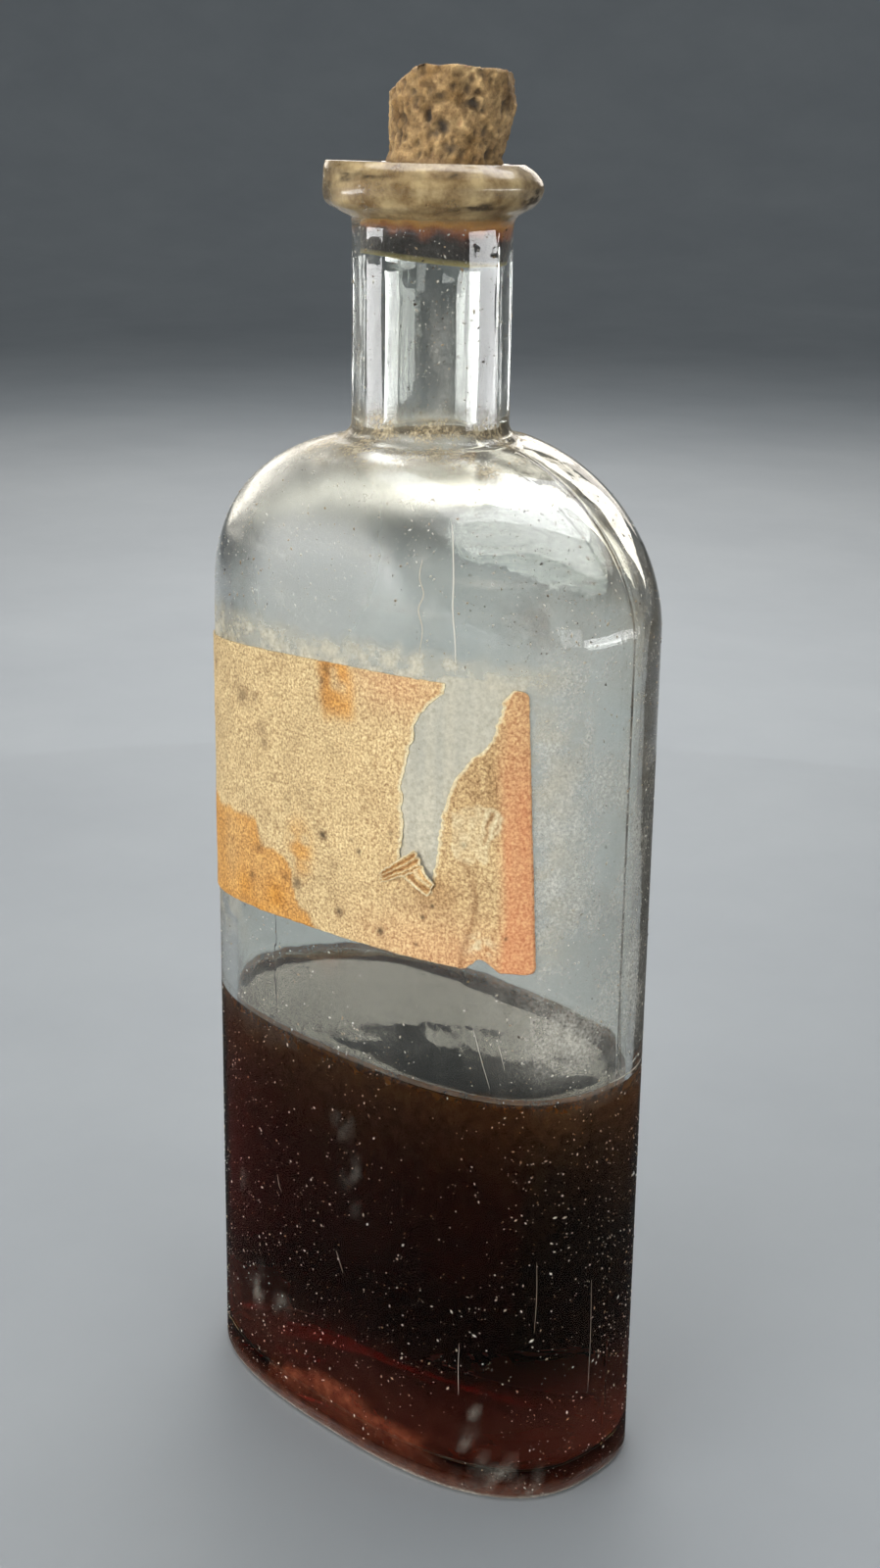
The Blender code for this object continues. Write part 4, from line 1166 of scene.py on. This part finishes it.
def make_smears(rings, material):
    """Finger smears and dried splashes on the glass in front of the tincture, and the dust line round its heel."""
    torn = smooth_step(crumb_noise(rings, (1.5, 1.5, 2.2), 261, 4), -0.25, 0.7)
    amount = np.maximum.reduce([strength * near(rings, place, size) for place, size, strength in SMEARS]) * torn
    height = rings[..., 2]
    on_heel = np.linalg.norm(rings[..., :2] / OUTER, axis=-1) > 0.93
    line = bell((height - 0.45) / 0.4) * on_heel * (height > 0.05)
    amount = np.maximum(amount, 0.75 * line * (0.7 + 0.3 * soft_noise(rings, 3.0, 262)))
    return make_film("dried_smears", rings, 0.02, amount, material)


def make_root_grime(rings, material):
    """Old brown grime caught round the neck's root, running down the ridge of the shoulder, and a dark thumb smear."""
    height = rings[..., 2]
    turn = np.arctan2(rings[..., 1], rings[..., 0])
    patchy = smooth_step(crumb_noise(rings, (3.2, 3.2, 2.0), 211, 4), -0.55, 0.75)
    front = 0.35 + 0.65 * np.cos((turn + 0.75) / 2) ** 2
    collar = band(height, 141.5, 146.0, 148.2, 151.0)
    splash = near(rings, (13.0, -6.0, 145.2), (8.5, 8.5, 2.6))
    ridge = bell((rings[..., 1] - 3.0) / 4.2) * smooth_step(rings[..., 0], 12.0, 18.0)
    ridge *= band(height, 60.0, 140.0, 145.0, 148.0)
    smear = 1.2 * near(rings, (17.2, -7.0, 143.4), (2.3, 2.8, 2.2))
    collar = 0.66 * collar * (0.45 + 0.55 * front) * (0.25 + 0.75 * patchy)
    amount = np.maximum.reduce([collar, 0.75 * splash * patchy, 0.34 * ridge * patchy])
    return make_film("root_grime", rings, 0.035, np.maximum(amount, 0.6 * smear * (0.5 + 0.5 * patchy)), material)


def make_lip_grime(rings, material):
    """A tan crust baked onto the lip: thick on its rim and top, thin on the bright facet at its left."""
    height = rings[..., 2]
    on_lip = smooth_step(height, 173.4, 174.8)
    patchy = smooth_step(crumb_noise(rings, (6.0, 6.0, 1.6), 221, 3), -0.75, 0.5)
    facet = near(rings, (-6.5, -12.0, 177.0), (3.0, 3.6, 1.7))
    amount = on_lip * (0.55 + 0.25 * patchy) * (1 - 0.75 * facet)
    return make_film("lip_grime", rings, 0.03, amount, material)


# Soot on the lip: place in mm, size in mm, strength
SOOT = (
    ((-1.3, -14.2, 179.3), (1.3, 1.3, 0.6), 0.55),
    ((2.5, -13.8, 179.5), (2.6, 2.6, 0.35), 0.60),
    ((9.5, -10.2, 179.4), (2.4, 2.4, 0.3), 0.45),
    ((11.8, -7.2, 179.5), (1.6, 1.6, 0.5), 0.70),
    ((12.6, -4.4, 175.9), (3.4, 3.4, 0.45), 0.75),
    ((12.6, 5.0, 176.9), (2.4, 2.4, 1.7), 0.70),
    ((-5.5, -13.2, 178.6), (0.8, 0.8, 0.8), 0.35),
    ((-9.0, 10.0, 178.4), (3.5, 3.5, 0.6), 0.50),
    ((3.0, 13.8, 176.6), (4.0, 4.0, 0.6), 0.50),
)


def make_lip_soot(rings, material):
    """Dark soot rubbed into the hollows that the lipping tool left, broken up into specks."""
    broken = smooth_step(crumb_noise(rings, (1.6, 1.6, 0.5), 224, 4), -0.35, 0.6)
    amount = 1.8 * np.maximum.reduce([strength * near(rings, place, size) for place, size, strength in SOOT]) * broken
    return make_film("lip_soot", rings, 0.045, amount, material)


def make_red_foot_glow(rings, material):
    """Painted glow: a red-brown film on the inside of the glass that stands in for light coming up through the base,
    thick at the foot and thinning out by about 10 mm up.
    """
    height = rings[..., 2]
    clouds = 0.75 + 0.25 * soft_noise(rings, (9, 9, 5), 236)
    amount = 0.85 * bell(np.maximum(height - 7.0, 0) / 8.5) * clouds * (height < 40.0)
    return make_film("painted_red_glow", rings[8:44], -0.04, amount[8:44], material)


def make_pale_crescent(rings, material):
    """Painted glow: an orange-brown film outside the foot's front that stands in for light gleaming in the push-up, a
    lens with a sharp arched edge that fades downwards.
    """
    across, height = rings[..., 0], rings[..., 2]
    places = (-17.9, -12.9, -6.7, -1.1, 7.3, 11.2, 14.9, 18.3, 22.4, 25.0)
    arch = np.interp(across, places, (2.1, 4.9, 7.7, 8.8, 8.5, 8.1, 7.7, 7.0, 5.8, 4.5))
    depth = arch - height + 0.2 * soft_noise(rings, (2, 2, 1), 238)
    ends = band(across, -18.0, -6.0, 14.0, 24.0)
    inside = smooth_step(depth, -0.15, 0.55) * (rings[..., 1] < 0) * (height > 0.05) * ends
    fade = 0.22 + 0.78 * bell(np.maximum(depth - 0.6, 0) / 2.6)
    clouds = 0.8 + 0.2 * soft_noise(rings, (5, 5, 2), 237)
    foot = 0.34 * (1 - smooth_step(height, 1.4, 3.8)) * (height > 0.05)
    return make_film("painted_crescent_glow", rings, 0.015, np.maximum(0.62 * inside * fade, foot) * clouds, material)


def make_tide_mark(rings, material):
    """Painted glow and resin inside the glass: an amber film below the tincture's surface that stands in for light
    glowing in the liquid, and a resin crust just above it.

    The rings are blended into rows a quarter of a millimetre apart near the surface, where the crust is thin.
    """
    level = rings[..., 2].mean(axis=1)
    wanted = np.concatenate([np.arange(9, 56, 1.0), np.arange(56, 66, 0.25), np.arange(66, 130, 2.0)])
    row = np.interp(wanted, level, np.arange(len(level)))
    k = row.astype(int)
    t = (row - k)[:, None, None]
    rings = rings[k] * (1 - t) + rings[k + 1] * t
    height = rings[..., 2]
    under = LIQUID_LEVEL + 0.6 - height
    wander = 1.6 * soft_noise(rings, (9, 9, 1000), 231)
    # Painted glow: the amber film is strongest just under the surface and fades with depth.
    surface_glow = (0.06 + 0.82 * np.exp(-np.maximum(under, 0) / (6.5 + wander))) * (under > -0.2)
    line = 0.75 * bell(under / 0.55) * (0.6 + 0.4 * soft_noise(rings, (2.5, 2.5, 1000), 232))
    above = np.maximum(-under, 0)
    crust = (under < 0) * np.exp(-above / 1.3) * smooth_step(crumb_noise(rings, (1.6, 1.6, 0.9), 233, 3), 0.1, 0.9)
    left = near(rings, (-25.0, -14.0, 62.0), (7.0, 7.0, 4.5))
    left = left * smooth_step(soft_noise(rings, 1.5, 234), -0.5, 0.5)
    stain = 0.42 * near(rings, (6.0, 17.0, 119.0), (8.5, 6.0, 5.0))
    stain = stain * smooth_step(crumb_noise(rings, 3.0, 235), -0.5, 0.7)
    front = 1 - 0.75 * smooth_step(rings[..., 1], 2.0, 8.0)
    amount = np.maximum.reduce([surface_glow, front * line, 0.55 * front * crust, 0.75 * left, stain])
    return make_film("tide_line_and_glow", rings, -0.05, amount, material)


def make_dust_specks(rings, material):
    """Grains stuck to the glass: flat octahedra at random places on the rings, most where dust has gathered."""
    random = np.random.default_rng(241)
    rows, columns, _ = rings.shape
    tries = 40000
    row = random.uniform(0, rows - 2, tries)
    column = random.uniform(0, columns, tries)
    k, c = row.astype(int), column.astype(int) % columns
    t, w = (row - k)[:, None], (column % 1.0)[:, None]
    following = (c + 1) % columns
    low = rings[k, c] * (1 - w) + rings[k, following] * w
    high = rings[k + 1, c] * (1 - w) + rings[k + 1, following] * w
    middle = low * (1 - t) + high * t
    normal = outward(rings)[k, c]
    height = middle[:, 2]
    step = np.linalg.norm(rings[k, following] - rings[k, c], axis=-1)
    step = step * np.linalg.norm(rings[k + 1, c] - rings[k, c], axis=-1)
    gathered = 0.25 + smooth_step(soft_noise(middle, (9, 9, 14), 242), -0.2, 0.8)
    gathered += 1.0 * near(middle, (-10.0, -19.0, 22.0), (16.0, 12.0, 16.0))
    gathered += 0.9 * smooth_step(middle[:, 0], 30.0, 35.0) + 0.7 * smooth_step(height, 118.0, 130.0)
    across, up = on_label(wall_along(middle), height)
    bare = ~((across > -0.02) & (across < 1.02) & (up > -0.03) & (up < 1.03) & (middle[:, 1] < 0))
    chance = gathered * step / 1.9 * bare * smooth_step(height, 0.8, 2.0) * (height < 173.0)
    chosen = random.random(tries) < chance
    middle, normal = middle[chosen], normal[chosen]
    count = len(middle)
    aside = np.cross(normal, (0.0, 0.0, 1.0))
    aside /= np.linalg.norm(aside, axis=-1, keepdims=True).clip(1e-6)
    upward = np.cross(normal, aside)
    spin = random.uniform(0, math.pi, count)[:, None]
    one = aside * np.cos(spin) + upward * np.sin(spin)
    two = np.cross(normal, one)
    size = (0.035 + 0.13 * random.random(count) ** 6 + 0.04 * random.random(count))[:, None]
    longer = size * random.uniform(0.8, 2.4, count)[:, None]
    tips = [middle + one * longer, middle + two * size, middle - one * longer, middle - two * size]
    tips += [middle + 0.7 * normal * size, middle - 0.01 * normal]
    points = np.stack(tips, axis=1).reshape(-1, 3)
    skin = np.array([(0, 1, 4), (1, 2, 4), (2, 3, 4), (3, 0, 4), (1, 0, 5), (2, 1, 5), (3, 2, 5), (0, 3, 5)])
    faces = (skin[None] + 6 * np.arange(count)[:, None, None]).reshape(-1, 3)
    shade = np.repeat(random.random(count), 6)
    return put_mesh("dust_specks", points, faces.tolist(), material, "bottle", "bottle_glass", {"amount": shade})


def wall_along(points):
    """How far round the wall from the middle of its front each place lies, from its direction."""
    angle, _, _, walked = body_outline(3600)
    along = np.interp(np.arctan2(points[..., 1], points[..., 0]) % (2 * math.pi), angle, walked) - 0.75 * walked[-1]
    return np.where(along < -walked[-1] / 2, along + walked[-1], along)


# Marks on the glass: width and thickness in mm, how pale, and places as (direction in degrees, height in mm)
MARKS = (
    # a dried drip over the label, and a raised thread of glass beside it
    (0.17, 0.05, 0.40,
     ((-46.6, 133.6), (-47.4, 131.2), (-46.1, 129.3), (-47.6, 127.2), (-46.4, 125.1), (-47.2, 121.5))),
    (0.22, 0.10, 0.70,
     ((-38.1, 138.0), (-38.2, 135.2), (-38.2, 131.7), (-38.4, 128.1), (-37.7, 122.9), (-37.6, 119.6))),
    # scratches and rubs
    (0.06, 0.02, 0.6, ((-33.9, 24.2), (-34.0, 20.0), (-33.8, 16.0))),
    (0.06, 0.02, 0.6, ((-32.2, 72.2), (-30.6, 68.5), (-28.2, 63.5))),
    (0.05, 0.02, 0.5, ((-26.6, 70.0), (-25.2, 66.4))),
    (0.04, 0.02, 0.5, ((-3.0, 33.0), (-2.6, 24.0), (-2.8, 15.0))),
    (0.05, 0.03, 0.5, ((-118.0, 38.0), (-116.5, 36.0), (-115.5, 35.6))),
    (0.05, 0.03, 0.5, ((-82.0, 31.0), (-78.0, 28.0))),
    (0.04, 0.02, 0.4, ((-17.4, 38.0), (-17.2, 33.0), (-17.5, 27.0))),
)
# The dried line of resin at the back of the tincture's surface, coloured off-white as a painted highlight of the light
# it catches
TIDE_THREADS = (
    (0.55, 0.22, 1.0, ((66.0, 61.6), (56.0, 61.5), (46.0, 61.5), (36.0, 61.6), (28.0, 61.8))),
    (0.30, 0.15, 0.8, ((24.0, 61.7), (14.0, 61.6), (2.0, 61.7))),
)


def make_marks(name, marks, rings, material):
    """Threads and scratches: a low rounded section carried along a path that lies on the glass."""
    pieces, pale = [], []
    for width, thick, tone, places in marks:
        known = np.array(places)
        walked = distance_along(0.4 * np.diff(known[:, 0]), np.diff(known[:, 1]))
        even = np.linspace(0, walked[-1], 30)
        direction, height = soft_curve(walked, known[:, 0], even), soft_curve(walked, known[:, 1], even)
        path, normal = on_glass(rings, direction, height)
        way = np.gradient(path, axis=0)
        side = np.cross(way, normal)
        side /= np.linalg.norm(side, axis=-1, keepdims=True)
        turn = circle(8)
        ends = np.sin(np.linspace(0.12, math.pi - 0.12, 30)) ** 0.4
        ring = side[:, None] * (width / 2 * np.cos(turn))[:, None] * ends[:, None, None]
        ring = ring + normal[:, None] * (thick * np.maximum(np.sin(turn), -0.25))[:, None] * ends[:, None, None]
        pieces.append(shell(path[:, None] + ring[:, ::-1], path[0], path[-1]))
        pale.append(np.full(len(pieces[-1][0]), tone))
    values = {"amount": np.concatenate(pale)}
    return put_mesh(name, *joined(pieces), material, "bottle", "bottle_glass", values)


def on_glass(rings, turn, height):
    """Places on the glass, and the normals there, in those directions in degrees: each ring blended, then the rows."""
    level = rings[..., 2].mean(axis=1)
    row = np.interp(height, level, np.arange(len(level)))
    k = np.minimum(row.astype(int), len(rings) - 2)
    t = (row - k)[:, None]
    around = np.degrees(np.arctan2(rings[..., 1], rings[..., 0]))
    found = []
    for grid in (rings, outward(rings)):
        table = [
            np.stack([np.interp(turn, angles, ring[:, axis], period=360) for axis in range(3)], axis=-1)
            for angles, ring in zip(around, grid)
        ]
        table = np.stack(table)
        index = np.arange(len(height))
        found.append(table[k, index] * (1 - t) + table[k + 1, index] * t)
    return found[0], found[1] / np.linalg.norm(found[1], axis=-1, keepdims=True)


def dirt_and_glow_film(name, dark, light, grain, least, most, roughness=0.9, gloss=0.0):
    """A see-through film, for dirt and for painted glow, whose grains, grain in size to the metre, cover from least to
    most of what its amount allows.
    """
    material, place = new_finish(name)
    amount = add_node(material, "Attribute", {"attribute_name": "amount"}).outputs["Fac"]
    noise = add_node(material, "TexNoise", Vector=place, Scale=grain, Detail=4.0, Roughness=0.68)
    broken = add_node(material, "MapRange", Value=noise, From_Min=0.36, From_Max=0.64, To_Min=least, To_Max=most)
    cover = add_node(material, "Math", {"operation": "MULTIPLY", "use_clamp": True}, _0=amount, _1=broken)
    tone = add_node(material, "ValToRGB", stops=((0.32, dark), (0.68, light)), Fac=noise)
    coat = {"Coat_Weight": gloss, "Coat_Roughness": 0.08}
    return set_shader(material, Base_Color=tone, Roughness=roughness, Alpha=cover, **coat)


def grain_of_dust():
    """Lint, sand and flakes: mostly off-white, some tan, a few dark."""
    material, place = new_finish("grains_of_dust")
    shade = add_node(material, "Attribute", {"attribute_name": "amount"}).outputs["Fac"]
    grains = ((0.10, "#4B4038"), (0.92, "#E9E6DC"), (0.16, "#A88D66"), (0.45, "#C9C2B2"))
    tone = add_node(material, "ValToRGB", stops=grains, Fac=shade)
    grit = add_node(material, "TexNoise", Vector=place, Scale=6000.0, Detail=2.0)
    rough = add_node(material, "MapRange", Value=grit, To_Min=0.5, To_Max=1.0)
    return set_shader(material, Base_Color=tone, Roughness=rough)


# Studio


def make_studio():
    """A pale floor that sweeps up into a round wall, soft panels overhead, beside and behind, and a dim even world.

    The wall is the floor's own profile carried round: flat, then a quarter circle, then upright.
    """
    flat = np.linspace(0.0, 1.7, 12)[1:]
    bend = np.linspace(0, math.pi / 2, 16)[1:]
    rise = np.linspace(0, 1.9, 8)[1:]
    out = np.concatenate([flat, 1.7 + 1.4 * np.sin(bend), np.full(7, 3.1)])
    height = np.concatenate([0 * flat, 1.4 - 1.4 * np.cos(bend), 1.4 + rise])
    turn = circle(72)
    rings = np.stack([out[:, None] * np.cos(turn), out[:, None] * np.sin(turn), height[:, None] + 0 * turn], axis=-1)
    index = np.arange(rings.size // 3).reshape(rings.shape[:2])
    quads = grid_faces(*rings.shape[:2], True)[:, ::-1]
    hub = pole_faces(index[0], rings.size // 3, False)[:, [1, 2, 0]]
    mesh = bpy.data.meshes.new("floor")
    mesh.from_pydata(rings.reshape(-1, 3).tolist() + [(0.0, 0.0, 0.0)], [], quads.tolist() + hub.tolist())
    mesh.shade_smooth()
    material, place = new_finish("matt_pale_floor")
    cloud = add_node(material, "TexNoise", Vector=place, Scale=9.0, Detail=5.0, Roughness=0.6)
    tone = add_node(material, "ValToRGB", stops=((0.3, "#A2A7AB"), (0.7, "#ABB0B3")), Fac=cloud)
    set_shader(material, Base_Color=tone, Roughness=0.75)
    mesh.materials.append(material)
    add_object("floor", mesh)
    make_flag()
    gleam = {"visible_diffuse": False}
    wash = {"visible_glossy": False, "visible_transmission": False}
    soft_light("overhead_gleam", (-0.08, 0.22, 1.04), 0, 90, (1.75, 0.74), 5.2, -9, gleam)
    soft_light("left_panel", (-0.62, -0.62, 0.06), -137, 0, (0.52, 0.11), 11.0, 0, gleam)
    soft_light("right_panel", (0.80, 0.50, 0.06), 32, 0, (0.85, 0.11), 10.0, 0, gleam)
    soft_light("back_panel", (-0.80, 0.80, 0.40), 135, 16, (1.3, 0.32), 2.8, 0, gleam).color = (1.0, 0.92, 0.82)
    soft_light("back_wash", (-0.34, 0.34, 0.50), 0, 90, (1.2, 0.30), 3.3, 45, wash)
    soft_light("front_wash", (-0.10, -1.30, 0.26), -94, 9, (1.3, 0.45), 9.0, 0, wash)
    soft_light("right_wash", (1.20, -0.25, 0.30), -12, 10, (0.6, 0.45), 5.5, 0, {"visible_glossy": False})
    world = bpy.data.worlds.new("studio")
    bpy.context.scene.world = world
    world.use_nodes = True
    world.node_tree.nodes["Background"].inputs["Color"].default_value = linear("#AEB4B8")
    world.node_tree.nodes["Background"].inputs["Strength"].default_value = 0.45


def make_flag():
    """A black card ring on the floor round the bottle. Only mirror reflections see it: the tincture looks deep."""
    mesh = bpy.data.meshes.new("black_flag")
    turn = circle(48)
    ring = np.stack([np.cos(turn), np.sin(turn), 0 * turn], axis=-1)
    edges = np.concatenate([ring * (0.0375, 0.0215, 0.0), 0.360 * ring]) + (0.0, 0.0, 0.0005)
    mesh.from_pydata(edges.tolist(), [], grid_faces(2, 48, True)[:, ::-1].tolist())
    material, place = new_finish("black_felt")
    nap = add_node(material, "TexNoise", Vector=place, Scale=900.0, Detail=2.0)
    tone = add_node(material, "ValToRGB", stops=((0.0, "#050505"), (1.0, "#141414")), Fac=nap)
    set_shader(material, Base_Color=tone, Roughness=1.0)
    mesh.materials.append(material)
    flag = add_object("black_flag", mesh)
    for ray in ("camera", "diffuse", "transmission", "volume_scatter", "shadow"):
        setattr(flag, "visible_" + ray, False)


def soft_light(name, place, azimuth, elevation, size, radiance, turn, shows):
    """A rectangular panel that faces the bottle from that azimuth and elevation, hidden from the camera.

    Its power is its radiance * pi * its area, so a panel can grow without growing brighter.
    """
    lamp = bpy.data.lights.new(name, "AREA")
    lamp.shape = "RECTANGLE"
    lamp.size, lamp.size_y = size
    lamp.energy = radiance * math.pi * size[0] * size[1]
    obj = add_object(name, lamp)
    obj.location = place
    obj.rotation_euler = (math.radians(90 - elevation), 0.0, math.radians(azimuth + 90 + turn))
    obj.visible_camera = False
    for key, value in shows.items():
        setattr(obj, key, value)
    return lamp


def make_camera():
    """The photograph's camera: its three axes and its place, fitted to the outlines of the bottle."""
    lens = bpy.data.cameras.new("camera")
    lens.lens = LENS
    lens.sensor_width = 36.0
    lens.clip_start, lens.clip_end = 0.01, 60.0
    camera = add_object("camera", lens)
    axes = np.eye(4)
    axes[:3, 0], axes[:3, 1], axes[:3, 2], axes[:3, 3] = RIGHT, UP, -np.array(LOOK), np.array(EYE) * 0.001
    camera.matrix_world = Matrix(axes.tolist())
    bpy.context.scene.camera = camera


def main():
    make_camera()
    make_studio()
    paper = label_paper()
    make_glass(flint_glass(), wetted_glass())
    make_tincture(plant_tincture(), tincture_surface())
    make_cork(cork_finish())
    make_label(paper)
    make_scrap(paper)
    make_paste(paste_finish())
    rings = outside_rings()
    make_dust_haze(rings, dirt_and_glow_film("settled_dust", "#C2BDAE", "#EDE9DD", 2200.0, 0.7, 1.3))
    make_root_grime(rings, dirt_and_glow_film("brown_grime", "#A0865A", "#E6D7B4", 1500.0, 0.4, 1.25))
    make_lip_grime(rings, dirt_and_glow_film("tan_crust", "#8A6C44", "#D2B988", 300.0, 0.9, 1.1, 0.35, 0.5))
    make_lip_soot(rings, dirt_and_glow_film("dark_soot", "#2A221A", "#5E503C", 2400.0, 0.5, 1.2))
    make_smears(rings, dirt_and_glow_film("dried_splash", "#B9AE9C", "#E6DFD0", 2600.0, 0.5, 1.3))
    inside = inside_rings()
    # Painted glow: a red-brown film inside the foot, for light that comes up through the base.
    make_red_foot_glow(inside, dirt_and_glow_film("red_glow_paint", "#82301F", "#9A422E", 260.0, 0.95, 1.05, 0.6))
    # Painted glow: the crescent's orange-brown colour stands in for light gleaming in the push-up.
    stain = dirt_and_glow_film("painted_glow_finish", "#7A3020", "#B0603F", 600.0, 0.85, 1.1, 0.35, 1.0)
    make_pale_crescent(rings, stain)
    # Its amber film below the surface is painted glow; its line and crust are resin left by the tincture.
    make_tide_mark(inside, dirt_and_glow_film("resin_with_painted_glow", "#663104", "#925A10", 700.0, 0.85, 1.05, 0.5))
    dust = grain_of_dust()
    make_dust_specks(rings, dust)
    # Marks lie on the upright walls, so the rings of the foot, neck and lip are left out
    make_marks("drips_and_scratches", MARKS, rings[17:140], dust)
    # Painted highlight: the resin line's off-white colour stands for the bright line along the surface's back.
    make_marks("resin_line_highlight", TIDE_THREADS, inside[24:80], dust)
    scene = bpy.context.scene
    scene.view_settings.view_transform = "Standard"
    scene.cycles.max_bounces = 20
    scene.cycles.transmission_bounces = 20
    scene.cycles.transparent_max_bounces = 16


main()
